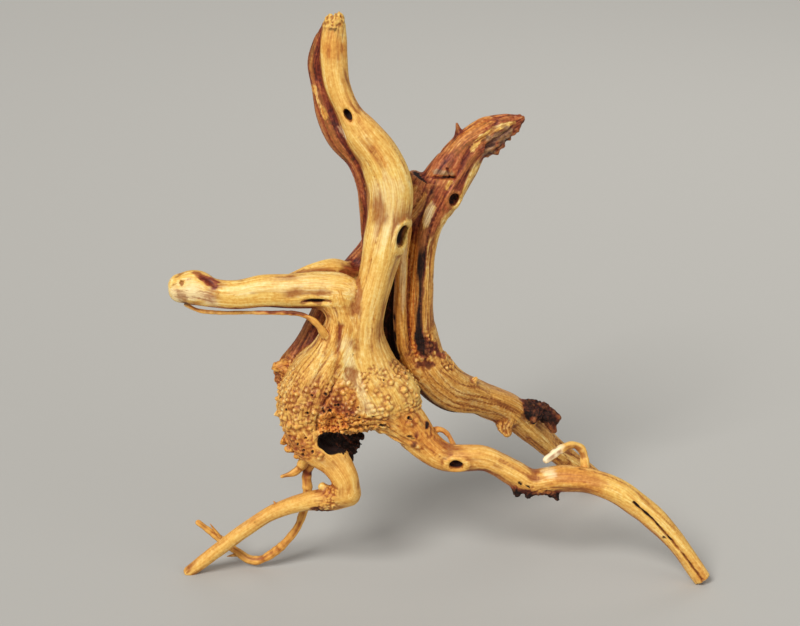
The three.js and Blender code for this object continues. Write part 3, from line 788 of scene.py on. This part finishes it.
# %% Torn tips
STEM_LUMPS = [(-97.5, 5.0, 6.0), (-86.5, 6.0, 6.0)]  # x, height and half width in mm
STEM_TIP = 484  # mm above the floor, where the stem's torn end starts
BRANCH_TIP = 30  # mm to the right, where the branch's ragged underside starts
x, _, z = points.T
moved = points + normals * (relief + wart_relief + local)[:, None]
fibre = value_noise(points / [1.8, 1.8, 14], 21)
on_tip = ramp(z - STEM_TIP, 8)
rise = np.zeros(len(points))
for middle, height, half in STEM_LUMPS:
    rise += height * np.sqrt(ramp(1 - ((x - middle) / half) ** 2))
crumbs = np.zeros(len(points))
part = np.flatnonzero(on_tip > 0)
crumbs[part] = lumps(points[part], 3.4, 88)
moved[:, 2] += on_tip * (rise - 4.0 + 1.2 * fibre)
moved += normals * (on_tip * (0.9 - 2.0 * crumbs))[:, None]
ragged = ramp(x - BRANCH_TIP, 16) * ramp(392 - z, 6) * (z > 340) * ramp(-normals[:, 2] * 2)
ragged *= ramp(hollow_level(points, "tip_scoop") / 2.5 - 0.2)
notch = value_noise(points / [2.8, 9, 2.8], 22)
moved += normals * (ragged * 3.0 * notch)[:, None]
set_points(skin.data, moved)

SKIN_TRIANGLES = 174_000


def triangle_count(made):
    """A face with n corners is n - 2 triangles."""
    return int((read(made.data.polygons, "loop_total") - 2).sum())


now = triangle_count(skin)
finished(skin, DECIMATE={"ratio": SKIN_TRIANGLES / now})
print("skin thinned where it is smooth:", now, "to", triangle_count(skin), "triangles")

# %% [markdown]
# ## Thin limbs
# Twigs and rootlets are thinner than the skin's faces can carry, so they stay tubes, with knots
# and slow bends from noise, and are joined to the skin with a boolean union.

# %% Twigs, splinters and the floor cut
SPLINTERS = [  # foot, tip and foot radius in mm
    ([-143, -86, 66], [-148, -86, 74], 3), ([-196, -61, 24], [-206, -62, 41], 2.5),
    ([-180, -63, 12], [-192, -62, 9], 2.5),
]


def thin_limb(name, rows):
    """A tube whose radius swells by a seventh, and whose axis bends, with noise of its length."""
    path = path_of(rows, 1.6)
    along, still = path["along"], 0 * path["along"]
    bend = [value_noise(np.stack([along / 15, still + k, still], -1), 33) for k in range(3)]
    bend = np.stack(bend, -1)
    knots = 1 + 0.14 * value_noise(np.stack([along / 7] * 3, -1), 34)
    path["wide"] = path["wide"] * knots
    path["deep"] = path["deep"] * knots
    path["centre"] = path["centre"] + 0.5 * bend * (path["wide"][:, None] / 3.5)
    return mesh_object(name, *tube(path, 14, ripple=0.11))


def splinter(foot, tip, radius):
    """A cone of rings from foot to tip, its radius falling as (1 - 0.94 t) to the power 0.8."""
    t = np.linspace(0, 1, 9)[:, None]
    centre = np.array(foot, float) * (1 - t) + np.array(tip, float) * t
    size = radius * (1 - 0.94 * t) ** 0.8
    rows = np.hstack([centre, size, size])
    return mesh_object("splinter", *tube(path_of(rows, 1.4), 12, ripple=0.12))


for name, rows in THIN.items():
    combine(skin, thin_limb(name, rows), "UNION")
for foot, tip, radius in SPLINTERS:
    combine(skin, splinter(foot, tip, radius), "UNION")
ground = mesh_object(
    "ground",
    np.array([[x, y, z] for x in (-400, 400) for y in (-400, 400) for z in (-60, 0)], float),
    [[0, 1, 3, 2], [4, 6, 7, 5], [0, 4, 5, 1], [2, 3, 7, 6], [0, 2, 6, 4], [1, 5, 7, 3]],
)
combine(skin, ground, "DIFFERENCE")
driftwood = skin
driftwood.name = driftwood.data.name = "driftwood_root"
print("finished root:", len(driftwood.data.polygons), "faces,", triangle_count(driftwood), "triangles")

# %% [markdown]
# ## Where the wood is pale, dark, amber, rotten, black or bleached
# The colours follow the root's history, with painted shade and painted highlights added, so they
# are worked out on the finished surface and kept as attributes, which the material then mixes.
# Each limb has a share of every change: in `AGE` 0 is sapwood and 1 is old heartwood. Strips run
# with the grain, and marks are stains along a short bent line; some strips and marks paint shade
# and highlights instead. Painting a picture of the wood would be the other way, but it would
# stretch and tear at the crotches, where this stays sharp.

# %% Limb coordinates on the finished surface
thin_paths = {name: path_of(rows, SAMPLE) for name, rows in THIN.items()}
every_path = {**paths, **thin_paths}
points, normals = vertex_data(driftwood.data)
_, sound, levels, places = wood_field(points)
found = [limb_coordinates(points, path, False) for path in thin_paths.values()]
levels = np.vstack([levels, [level for level, _ in found]])
places = np.concatenate([places, [place for _, place in found]])
limb_names = list(every_path)
levels[limb_names.index("heart_strip")] += 0.9 * value_noise(points / 9, 51)
owner = levels.argmin(axis=0)
weight = shares(levels, 0.9)
print("limbs that own surface:", len(np.unique(owner)), "of", len(limb_names))

# %% Strips and marks
AGE = {  # pale sapwood lost
    "heart_strip": 0.95, "neck": 0.05, "crown": 0.16, "rear_stem": 0.3, "branch": 0.95, "rib": 0.28,
    "back_wall": 1.0, "rear_leg": 0.04, "charred_knot": 0.85, "leg_knob": 0.35, "hollow_wall": 1.0,
    "twig": 0.2, "spike": 0.1, "rootlet": 0.2, "hook": 0.4, "right_leg": 0.05,
}
AMBER = {  # sapwood turned golden by resin and tannin
    "stem": 0.18, "arm": 0.12, "neck": 0.42, "thigh": 0.5, "shin": 0.4, "right_leg": 0.55,
    "rear_leg": 0.62, "rear_stem": 0.8, "rib": 1.0, "crown": 0.85, "twig": 0.7, "rootlet": 0.7,
    "hook": 0.7, "curl": 0.4, "spike": 0.5, "leg_knob": 0.7, "shoulder": 0.2,
}
ROT = {"branch": 0.12, "heart_strip": 0.1, "charred_knot": 0.1}  # soft and orange
CHAR_AND_SHADE = {"back_wall": 0.95, "charred_knot": 0.4, "hollow_wall": 0.62}  # black: charring and dark rot, and painted shade on the walls at the back of the gap and of the hollow
GREY = {"rear_stem": 0.1}  # bleached by weather
STRIPS = [  # limb, from and to along it in mm, from and to across in half widths, and what it adds
    ("stem", 8, 120, -1.6, 1.6, {"amber": 0.22}),
    ("stem", 190, 330, -1.6, 1.6, {"amber": 0.16}),
    ("branch", 125, 300, 0.32, 1.6, {"heart": -0.95, "rot": -0.3, "amber": 0.7}),
    ("branch", 45, 150, 0.7, 1.6, {"heart": -0.95, "rot": -0.3, "amber": 0.3}),
    ("branch", 136, 300, -1.6, -0.1, {"rot": 1.4, "heart": -0.5}),
    ("branch", 132, 290, -0.22, 0.34, {"char_and_shade": 0.72, "heart": 0.5, "rot": -0.5}),
    ("branch", 84, 138, -1.6, 0.55, {"char_and_shade": 0.22, "heart": 0.4, "rot": -0.3}),
    ("branch", 6, 72, -1.6, -0.5, {"rot": 0.35, "heart": -0.22, "amber": 0.4}),
    # painted shade: the rear leg's underside black
    ("rear_leg", 8, 125, -1.6, -0.62, {"char_and_shade": 0.62, "heart": 0.5}),
    ("rear_leg", 110, 290, -1.6, -0.3, {"amber": 0.3, "heart": 0.3}),
    ("rear_leg", 60, 290, 0.55, 1.6, {"heart": 0.3}),
    ("rear_stem", 20, 260, -0.2, 0.3, {"heart": 0.4}),
    ("rear_stem", 20, 215, 0.35, 1.6, {"heart": 0.55, "char_and_shade": 0.3}),
    ("heart_strip", 0, 300, -1.6, -0.3, {"char_and_shade": 0.26}),
    ("heart_strip", 0, 40, -1.6, 0.4, {"char_and_shade": 0.2}),
    ("heart_strip", 130, 300, 0.25, 0.6, {"heart": -0.2, "rot": 0.35}),
    # painted shade on the right leg's underside, and painted light on its upper side near the foot
    ("right_leg", 40, 330, -1.6, -0.62, {"heart": 0.42, "amber": 0.4}),
    ("right_leg", 200, 330, -0.2, 1.6, {"amber": -0.3}),
    # painted shade on the arm's underside, and a painted highlight band along its upper half
    ("arm", 0, 170, -1.6, -0.7, {"heart": 0.25, "amber": 0.5}),
    ("arm", 30, 170, 0.2, 0.9, {"pale": 0.22}),
    ("shin", 0, 230, -1.6, -0.6, {"heart": 0.3, "amber": 0.3}),
    # painted shade on the thigh's left side
    ("thigh", 0, 90, -1.6, -0.72, {"heart": 0.2, "amber": 0.3}),
]
MARKS = [  # line in mm, half width, what it adds, and 1 where depth counts in full and not by DEEP
    # painted shade: the crown's underside, seen through the hollow, black
    ([[-92, -58, 124], [-84, -56, 124], [-78, -54, 122]], 12, {"char_and_shade": 0.6, "heart": 0.5}, 1),
    ([[-82, -56, 112], [-76, -54, 104]], 9, {"char_and_shade": 0.55, "heart": 0.5}, 1),
    ([[-11, -42, 331], [-13.5, -43, 322], [-16, -43, 313]], 2.4,
     {"heart": -2.8, "char_and_shade": -1.0, "rot": 0.1, "amber": 0.45, "pale": 0.5}),
    ([[3, -38, 347], [0, -39, 343]], 2.2, {"heart": -1.1, "amber": 0.6}),
    ([[-14, -40, 336], [-20, -40, 326], [-25, -40, 312]], 7, {"char_and_shade": 0.3}),
    ([[36, -23, 374], [44, -21, 379.5], [53, -18, 385]], 6, {"grey": 1.1, "heart": -0.3}),
    ([[59, -16, 394.5], [45, -22, 391.5], [30, -26, 384], [22, -27, 373]], 1.8,
     {"heart": -1.0, "amber": 0.4}),
    ([[-31, -34, 356], [-20, -36, 357], [-4, -37, 356], [6, -37, 355]], 1.9, {"grey": 1.0, "rot": -0.3}),
    ([[-27, -34, 351], [-17, -38, 346], [-6, -40, 344]], 4, {"char_and_shade": 0.3, "heart": 0.4}),
    ([[-25, -48, 210], [-20, -49, 205], [-12, -49, 201]], 6, {"heart": 1.2, "char_and_shade": 0.45}),
    ([[-22, -48, 187], [-15, -48, 185], [-8, -46, 186]], 3.2, {"heart": 0.8, "char_and_shade": 0.5}),
    ([[-6, -42, 195], [0, -38, 190]], 2.4, {"heart": 0.7, "char_and_shade": 0.3}),
    ([[-36, -58, 300], [-36, -59, 268], [-35, -57, 240]], 3, {"amber": -0.3, "pale": 0.3}),
    # painted shade: the gap beside the stem, black
    ([[-50, -40, 240], [-48, -41, 216], [-44, -44, 196]], 6, {"char_and_shade": 1.1}),
    ([[80, 26, 121], [89, 22, 115], [98, 23, 107]], 9, {"char_and_shade": 0.3}),
    ([[74, 24, 113], [80, 26, 104]], 4, {"char_and_shade": 0.5, "heart": 0.3}),
    ([[-34, -92, 152], [-20, -95, 141], [-6, -95, 129]], 8, {"amber": 0.5, "heart": 0.3}),
    ([[-109, -53, 434], [-106, -57, 424], [-100, -61, 412]], 2.2, {"heart": -0.8, "rot": 0.5}),
    ([[-110, -52, 470], [-112, -50, 450]], 1.4, {"rot": 0.4, "heart": -0.2}),
    ([[-88.5, -66, 404], [-85, -67, 399.5], [-81.5, -67, 395]], 1.2,
     {"heart": -1.6, "rot": -0.4, "pale": 2.0}),
    ([[-102, -59, 472], [-93, -64, 471], [-83, -58, 469]], 8, {"heart": 0.3, "amber": 0.6}),
    ([[-95, -61, 485], [-90, -62, 485]], 1.2, {"char_and_shade": 0.6}),
    ([[-60, -82, 390], [-55, -83, 384], [-50, -84, 376]], 4, {"heart": 0.1, "amber": 0.45}),
    ([[-48, -86, 352], [-50, -87, 330], [-54, -88, 312]], 13, {"amber": -0.5, "pale": 0.25}),
    # the crown's front ridge: bleached wood with a painted highlight
    ([[-83, -96, 225], [-82, -98, 205], [-77, -99, 193], [-71, -100, 180], [-66, -98, 166]], 5.5,
     {"amber": -1.3, "heart": -0.9, "pale": 0.3}),
    ([[-44, -80, 202], [-36, -74, 196]], 6, {"heart": 0.5, "char_and_shade": 0.25}),
    ([[-68, -98, 193.5], [-61, -97, 199.5], [-53.5, -96, 195.5]], 3, {"heart": 0.3, "char_and_shade": 0.2}),
    ([[-102, -104, 176], [-96, -104, 168], [-90, -103, 163]], 9, {"heart": 0.6, "rot": 0.4}),
    ([[-116, -98, 186], [-124, -90, 172], [-128, -86, 156]], 9, {"heart": 0.3}),
    ([[-128, -97, 133], [-118, -101, 128]], 9, {"heart": 0.35, "amber": 0.3}),
    ([[-214, -80, 285], [-204, -82, 278], [-194, -82, 271]], 3.6,
     {"heart": 1.0, "pale": -0.5, "grey": 0.3}),
    ([[-226, -80, 262], [-215, -82, 266], [-200, -84, 262]], 9, {"pale": 0.5, "amber": -0.3}),
    ([[-220, -79, 254], [-211, -82, 252]], 3, {"heart": 0.5, "char_and_shade": 0.5}),
    ([[-120, -91, 259], [-113, -91, 260], [-105, -86, 258]], 1.6, {"heart": 0.6, "char_and_shade": 0.4}),
    ([[-196, -82, 251], [-170, -86, 251.5], [-140, -88, 252.5], [-112, -88, 251]], 2.6,
     {"heart": 0.9, "char_and_shade": 0.5}),
    ([[-92, -52, 272], [-80, -46, 272]], 6.5, {"heart": 1.0, "char_and_shade": 0.15}),
    ([[-100, -60, 276], [-92, -58, 274]], 2.0, {"char_and_shade": 0.9}),
    ([[-26, -93, 131], [-25, -93, 132]], 2.6, {"heart": 0.7, "char_and_shade": 0.6}),
    ([[-25, -94, 139], [-24, -94, 140]], 1.8, {"heart": 0.6, "char_and_shade": 0.5}),
    ([[-16, -87, 145], [-15, -87, 146]], 1.6, {"heart": 0.5, "char_and_shade": 0.8}),
    ([[99, -95, 102], [116, -97, 101], [134, -99, 96]], 7, {"heart": 0.4, "amber": 0.3}),
    ([[61, -90, 83], [80, -90, 79], [97, -89, 79]], 7, {"heart": 0.8, "char_and_shade": 0.5}),
    ([[87, -90, 103], [92, -91, 104]], 4, {"pale": 0.5, "amber": -0.4}),
    ([[64, -96, 96], [66, -96, 95]], 1.0, {"char_and_shade": 1.1}),
    ([[72, -96, 93], [73, -96, 92]], 0.9, {"char_and_shade": 1.1}),
    ([[191, -102, 46], [190, -102, 47]], 0.8, {"char_and_shade": 1.1}),
    ([[-112, -102, 71], [-106, -101, 69], [-98, -105, 70]], 5, {"heart": 0.7, "char_and_shade": 0.6}),
    ([[-100, -105, 99], [-98, -104, 91], [-101, -104, 84]], 5, {"heart": 0.25, "amber": 0.3}),
    ([[-118, -69, 112], [-120, -66, 93]], 5, {"heart": 0.6, "char_and_shade": 0.5}, 1),
    ([[-89, -95, 236], [-90, -97, 217], [-93, -102, 198]], 3, {"amber": 0.6, "heart": 0.1}),
    ([[8, -18, 386], [8, -16, 398]], 6, {"heart": 0.4, "char_and_shade": 0.4}),
    ([[98, -82, 119], [88, -88, 115]], 5, {"pale": 0.8}),
]
STRIP_EDGE, STRIP_END = 0.25, 18  # half widths and mm over which a strip fades
AMOUNTS = {
    "heart": AGE, "amber": AMBER, "rot": ROT, "char_and_shade": CHAR_AND_SHADE, "grey": GREY, "pale": {}, "figure": GRAIN,
}
finish = {
    kind: np.array([values.get(host(name), 0.0) for name in limb_names]) @ weight
    for kind, values in AMOUNTS.items()
}
fray = value_noise(places[owner, np.arange(len(points))] / [3.5, 3.5, 30], 52)  # along the grain
for name, first, last, left, right, adds in STRIPS:
    i = limb_names.index(name)
    path = every_path[name]
    a, _, along = places[i].T
    across = a / np.interp(along, path["along"], path["wide"]) + 0.2 * fray
    inside = ramp((across - left) / STRIP_EDGE + 0.5) * ramp((right - across) / STRIP_EDGE + 0.5)
    inside *= ramp(along - first, STRIP_END) * ramp(last - along, STRIP_END)
    for kind, amount in adds.items():
        finish[kind] += amount * inside * weight[i]
blot = 0.55 * fray + 0.6 * value_noise(points / 4, 58)
for line, half_width, adds, *deep in MARKS:
    inside = ramp(1.5 - distance_to_line(points, line, *deep) / half_width + blot)
    for kind, amount in adds.items():
        finish[kind] += amount * inside

# %% Warts, pits, rot and cracks as colour, with painted shade and painted highlights
zone = wart_zone(points)
part = np.flatnonzero(zone > 0)
index, d = nearest_wart(points[part])
# painted shade in a ring round the foot of each bud, reddish in patches
skirt = ramp(1 - np.abs(d - 1.0) / 0.5) * ~is_missing[index]
red = value_noise(points[part] / 11, 53) > 0.2
# painted shade: each pit black in the middle
finish["char_and_shade"][part] += zone[part] * is_pit[index] * ramp(1.3 - d / 0.7) * 1.3
finish["heart"][part] += zone[part] * (0.12 * skirt + 0.2 * red * skirt)
finish["amber"][part] += zone[part] * 0.4 * skirt
# painted highlight on the top of each bud
is_bud = ~is_pit[index] * ~is_missing[index]
finish["pale"][part] += zone[part] * is_bud * ramp(1.0 - d * 1.5) * 0.4
finish["heart"] += ramp(value_noise(points / 16, 54) - 0.15) * zone * 0.35
finish["amber"] += ramp(value_noise(points / 26, 57)) * 0.2

depth_inside = np.clip(-sound - 1.5, 0, 30)  # mm below the sound surface, in holes and hollows
sponge = in_sponge(points)
part = np.flatnonzero(sponge > 0)
finish["rot"] += sponge * 1.3
finish["heart"] -= sponge
# painted shade: the sponge's small holes black
finish["char_and_shade"][part] += sponge[part] * ramp(lumps(points[part], SPONGE_CELL, 77) - 0.5) * 2.0
# painted shade: holes and hollows darker red-brown, then black, the deeper they lie
finish["heart"] += ramp(depth_inside, 2) * 0.6 * (1 - sponge)
finish["char_and_shade"] += np.clip(depth_inside / 4.5, 0, 1.2) * (1 - sponge)
# less painted shade in the tip scoop and the knob groove
for name in ("tip_scoop", "knob_groove"):
    finish["char_and_shade"] -= (hollow_level(points, name) < 1.5) * 0.55
# painted shade: everything inside the hollow black
finish["char_and_shade"] += (hollow_level(points, "hollow") < 1.2) * ramp(points[:, 1] + 104, 6)
DEEP_CRACK = 2.7  # mm, past which a crack is painted black inside, as shade
# painted shade: deep cracks black inside, shallow ones a little darker
for line, width, depth in CRACKS.values():
    near = ramp(1.3 - crack_distance(points, line) / width)
    finish["char_and_shade"] += near * (1.1 if depth > DEEP_CRACK else 0.0)
    finish["heart"] += near * (0.4 if depth > DEEP_CRACK else 0.1)

# %% Painted shade in the grooves, lighter ridges
ends = read(driftwood.data.edges, "vertices", width=2)
FIRST, SECOND = ends.reshape(-1, 2).T
NEIGHBOURS = np.bincount(ends, minlength=len(points))


def averaged(values, rounds):
    """Each vertex's value replaced by the mean of its neighbours', round after round."""
    for _ in range(rounds):
        total = np.bincount(FIRST, values[SECOND], len(values))
        total += np.bincount(SECOND, values[FIRST], len(values))
        values = total / NEIGHBOURS
    return values


def dished(rounds):
    """How far a vertex lies below its averaged surroundings, less what is usual near it."""
    mean = np.stack([averaged(points[:, k], rounds) for k in range(3)], -1)
    depth = ((mean - points) * normals).sum(axis=1)
    return depth - averaged(depth, 3 * rounds)


FULL_DISH = 0.9  # mm at which a groove gets its full painted shade, or a ridge its full lightening
dish = 2.2 * dished(3) + 1.2 * dished(20)
finish["groove"] = ramp(dish / FULL_DISH - 0.1)
finish["ridge"] = ramp(-dish, FULL_DISH)
print("grooved share:", round(float((finish["groove"] > 0.3).mean()), 2),
      "ridged share:", round(float((finish["ridge"] > 0.3).mean()), 2))

# %% Keep them on the mesh
def keep(mesh, name, kind, domain, values):
    """Stores values on a mesh as an attribute that the material can read."""
    attribute = mesh.attributes.new(name, kind, domain)
    field = "vector" if kind == "FLOAT_VECTOR" else "value"
    attribute.data.foreach_set(field, np.ascontiguousarray(values, np.float32).ravel())


mesh = driftwood.data
for name, values in finish.items():
    keep(mesh, name, "FLOAT", "POINT", np.clip(values, 0, 1.5))
corner_point = read(mesh.loops, "vertex_index")
first_corner = read(mesh.polygons, "loop_start")
corner_limb = np.repeat(owner[corner_point[first_corner]], read(mesh.polygons, "loop_total"))
grain = places[corner_limb, corner_point] * MM
grain[:, 2] += 0.05 * corner_limb  # so that no two limbs show the same fibres
keep(mesh, "grain", "FLOAT_VECTOR", "CORNER", grain)
print("mean heartwood share:", round(float(finish["heart"].mean()), 2))

# %% [markdown]
# ## Water-worn root wood
# The root was soaked, sanded and left unfinished, so it has a low satin sheen. Sapwood is straw
# yellow with golden fibres, heartwood is red-brown, rot is orange, and soot and painted shade are
# nearly black; grooves are darkened with painted shade. Every pattern reads the `grain` attribute,
# whose third number runs along the limb, so fibres bend with the root. Fibres are drawn 1.4 mm
# wide, coarser than real ones, so that they show.

# %% Node helper
def linear(hex_colour):
    """sRGB hex to linear: ((c + 0.055) / 1.055) ^ 2.4, or c / 12.92 when c is small."""
    c = np.array([int(hex_colour[i:i + 2], 16) for i in (1, 3, 5)]) / 255
    return (*np.where(c > 0.04045, ((c + 0.055) / 1.055) ** 2.4, c / 12.92).tolist(), 1.0)


def add(tree, kind, links=None, stops=None, **settings):
    """Adds a node, sets its properties or input values, and links sockets or values into it."""
    made = tree.nodes.new(kind)
    for key, value in settings.items():
        if hasattr(made, key):
            setattr(made, key, value)
        else:
            made.inputs[key.replace("_", " ")].default_value = value
    for key, source in (links or {}).items():
        if isinstance(source, (float, tuple)):
            made.inputs[key].default_value = source
        else:
            tree.links.new(source, made.inputs[key])
    if stops:
        ramp = made.color_ramp
        while len(ramp.elements) < len(stops):
            ramp.elements.new(1.0)
        for element, (place, colour) in zip(ramp.elements, stops):
            element.position, element.color = place, linear(colour)
    return made


# %% Patterns of the wood
FIBRE = (1.4, 24)  # mm across and along
STREAK = (5.0, 75)
PORE = (1.0, 6)
RING_LINE = (5.5, 110)
HAIR_LINE = (2.4, 60)

wood = bpy.data.materials.new("water_worn_root_wood")
wood.use_nodes = True
tree = wood.node_tree
shader = tree.nodes["Principled BSDF"]
grain_read = add(tree, "ShaderNodeAttribute", attribute_name="grain").outputs["Vector"]
place_read = add(tree, "ShaderNodeTexCoord").outputs["Object"]


def maths(operation, *sources, clamp=False):
    """One sum of sockets or numbers, such as ADD, and its result's socket."""
    links = dict(enumerate(sources))
    return add(tree, "ShaderNodeMath", links, operation=operation, use_clamp=clamp).outputs[0]


def amount(name):
    """The socket of one of the surface's own attributes."""
    return add(tree, "ShaderNodeAttribute", attribute_name=name).outputs["Fac"]


def grain_noise(size, detail, distortion=0.0):
    """Noise of the grain attribute in units of the pattern's size across, across and along."""
    across, along = size
    scale = (1 / (across * MM), 1 / (across * MM), 1 / (along * MM))
    scaled = add(tree, "ShaderNodeVectorMath", {0: grain_read, 1: scale}, operation="MULTIPLY")
    made = add(tree, "ShaderNodeTexNoise", {"Vector": scaled.outputs[0]}, Scale=1.0, Detail=detail,
               Roughness=0.6, Distortion=distortion)
    return made.outputs["Fac"]


def spot_noise(size, detail=3.0):
    """Noise that is the same in every direction, size mm across."""
    made = add(tree, "ShaderNodeTexNoise", {"Vector": place_read}, Scale=1 / (size * MM), Detail=detail)
    return made.outputs["Fac"]


def lines(noise, half_width):
    """1 where the noise crosses one half, falling to 0 within the half width."""
    off = maths("ABSOLUTE", maths("SUBTRACT", noise, 0.5))
    made = add(tree, "ShaderNodeMapRange", {"Value": off}, From_Max=half_width, To_Min=1.0, To_Max=0.0)
    return made.outputs["Result"]


def frayed(name, noise, spread, sharpness):
    """clamp((attribute + spread (noise - 1/2) - 1/2) sharpness + 1/2): frays a soft border."""
    value = maths("MULTIPLY_ADD", noise, spread, amount(name))
    offset = 0.5 - sharpness * (0.5 + spread / 2)
    return maths("MULTIPLY_ADD", value, sharpness, offset, clamp=True)


def mix_colour(factor, first, second, mode="MIX"):
    """The first colour where the factor is 0, and the second laid over it where it is 1."""
    links = {0: factor, 6: first, 7: second}
    return add(tree, "ShaderNodeMix", links, data_type="RGBA", blend_type=mode).outputs[2]


fibre = grain_noise(FIBRE, 4.0, 0.4)
streak = grain_noise(STREAK, 3.0, 1.2)
pore = grain_noise(PORE, 2.0)
ring_line = lines(grain_noise(RING_LINE, 1.0, 1.6), 0.035)
hair_line = lines(grain_noise(HAIR_LINE, 1.0, 1.0), 0.05)
mottle = spot_noise(20)
speck = spot_noise(2.6, 2.0)
mixed = maths("ADD", maths("MULTIPLY", streak, 0.4), maths("MULTIPLY", fibre, 0.35))
mixed = maths("SUBTRACT", maths("ADD", mixed, maths("MULTIPLY", speck, 0.25)), 0.5)
contrast = maths("MULTIPLY_ADD", amount("figure"), 0.55, 0.6)  # deep grain has a bold figure
figure = maths("MULTIPLY_ADD", mixed, contrast, 0.5)

# %% Colours of the wood
def wood_colours(*stops):
    """The wood's figure as colours: a place from 0 to 1 and a colour for each stop."""
    return add(tree, "ShaderNodeValToRGB", {"Fac": figure}, stops=stops).outputs["Color"]


sapwood = wood_colours((0.34, "#B8782A"), (0.44, "#DEA64A"), (0.52, "#F0C86C"), (0.62, "#FBE6A0"))
golden = wood_colours((0.34, "#803812"), (0.44, "#BE702A"), (0.53, "#DE983E"), (0.64, "#F4C670"))
heartwood = wood_colours((0.34, "#3C1408"), (0.45, "#7C3016"), (0.54, "#A9532C"), (0.68, "#CF8650"))
rotten = wood_colours((0.34, "#6A280A"), (0.44, "#BE5C1A"), (0.53, "#E8943A"), (0.63, "#F8C46E"))
# nearly black: charred wood, and painted shade in hollows, holes, cracks, pits and undersides
soot_and_shade = wood_colours((0.40, "#0C0503"), (0.54, "#260F07"), (0.66, "#6A3218"))
weathered = wood_colours((0.36, "#3A2416"), (0.48, "#77513A"), (0.62, "#AC8668"))
BLEACHED_AND_HIGHLIGHT, STAIN, RIDGE_TINT = linear("#FBEBC2"), linear("#9A5422"), linear("#8A6426")
# painted shade for the grooves
GROOVE_SHADE = linear("#9A5426")

colour = mix_colour(frayed("amber", mottle, 0.5, 1.1), sapwood, golden)
colour = mix_colour(frayed("heart", streak, 0.7, 2.6), colour, heartwood)
colour = mix_colour(frayed("rot", fibre, 0.9, 2.4), colour, rotten)
colour = mix_colour(frayed("grey", streak, 0.5, 2.0), colour, weathered)
# pale: bleached wood, and painted highlights on the buds, the crown's front ridge and the arm
colour = mix_colour(frayed("pale", fibre, 0.6, 1.2), colour, BLEACHED_AND_HIGHLIGHT)
any_line = maths("MAXIMUM", ring_line, maths("MULTIPLY", hair_line, 0.55))
line_share = maths("MULTIPLY", maths("MULTIPLY", any_line, amount("figure")), 0.6, clamp=True)
colour = mix_colour(line_share, colour, STAIN, "MULTIPLY")
# painted shade in the grooves
colour = mix_colour(maths("MULTIPLY", amount("groove"), 0.75, clamp=True), colour, GROOVE_SHADE, "MULTIPLY")
colour = mix_colour(maths("MULTIPLY", amount("ridge"), 0.5, clamp=True), colour, RIDGE_TINT, "SCREEN")
# the black layer: partly charring, partly painted shade
char_and_shade_share = frayed("char_and_shade", streak, 0.6, 2.4)
colour = mix_colour(char_and_shade_share, colour, soot_and_shade)
tree.links.new(colour, shader.inputs["Base Color"])

rough = add(tree, "ShaderNodeMapRange", {"Value": figure}, From_Min=0.3, From_Max=0.7,
            To_Min=0.62, To_Max=0.42)
roughness = maths("MULTIPLY_ADD", char_and_shade_share, 0.32, rough.outputs["Result"])
tree.links.new(roughness, shader.inputs["Roughness"])
shader.inputs["IOR"].default_value = 1.5
shader.inputs["Specular IOR Level"].default_value = 0.3
height = maths("ADD", maths("MULTIPLY", fibre, 0.5), maths("MULTIPLY", pore, 0.35))
height = maths("SUBTRACT", height, maths("MULTIPLY", line_share, 0.5))
BUMP_DEPTH = 0.8  # mm
bump = add(tree, "ShaderNodeBump", {"Height": height}, Strength=0.6, Distance=BUMP_DEPTH * MM)
tree.links.new(bump.outputs["Normal"], shader.inputs["Normal"])
mesh.materials.clear()
mesh.materials.append(wood)
mesh.polygons.foreach_set("material_index", np.zeros(len(mesh.polygons), np.int32))
mesh.polygons.foreach_set("use_smooth", np.ones(len(mesh.polygons), bool))
print("nodes in the wood:", len(tree.nodes))
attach(driftwood, "root")
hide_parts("driftwood")

# %% [markdown]
# ## Floor, light and camera
# A plain pale floor and soft light from large lamps, with the camera a little above the root,
# looking down 20 degrees through a long lens, as the photograph was taken.

# %% Studio
FLOOR = 9000  # mm from the middle to an edge
CAMERA_PLACE, CAMERA_TILT = (-0.0383, -1.8430, 0.8873), 20  # metres, and degrees below level
MIDDLE = Vector((0, -0.05, 0.22))
SUNLIGHT = Vector((0.62, 1.08, -1.12))  # the way it shines

floor = mesh_object(
    "floor", np.array([[-1, -1, 0], [1, -1, 0], [1, 1, 0], [-1, 1, 0]], float) * FLOOR, [[0, 1, 2, 3]]
)
paper = bpy.data.materials.new("matt_grey_paper")
paper.use_nodes = True
paper_shader = paper.node_tree.nodes["Principled BSDF"]
paper_shader.inputs["Base Color"].default_value = linear("#B2AFA8")
paper_shader.inputs["Roughness"].default_value = 0.9
floor.data.materials.append(paper)

camera = placed("camera", bpy.data.cameras.new("camera"))
camera.data.lens = 100
camera.data.sensor_width = 36
camera.location = CAMERA_PLACE
camera.rotation_euler = (np.radians(90 - CAMERA_TILT), 0, 0)
bpy.context.scene.camera = camera


def softbox(name, place, size, power):
    """A square area light of the given size that faces the root's middle."""
    lamp = bpy.data.lights.new(name, "AREA")
    lamp.size, lamp.energy = size, power
    made = placed(name, lamp)
    made.location = place
    made.rotation_euler = (MIDDLE - Vector(place)).to_track_quat("-Z", "Y").to_euler()


sun = bpy.data.lights.new("high_window", "SUN")
sun.energy, sun.angle = 2.8, np.radians(24)
high_window = placed("high_window", sun)
high_window.rotation_euler = SUNLIGHT.to_track_quat("-Z", "Y").to_euler()
softbox("fill", (1.6, -1.3, 0.9), 1.4, 7.5)
softbox("rim", (0.6, 1.6, 1.6), 1.2, 6)
world = bpy.data.worlds.new("studio")
bpy.context.scene.world = world
world.use_nodes = True
sky = world.node_tree.nodes["Background"]
sky.inputs["Color"].default_value = (0.9, 0.9, 0.9, 1)
sky.inputs["Strength"].default_value = 0.42
bpy.context.scene.view_settings.view_transform = "Standard"
print("camera", camera.data.lens, "mm, lamps:", len(bpy.data.lights))
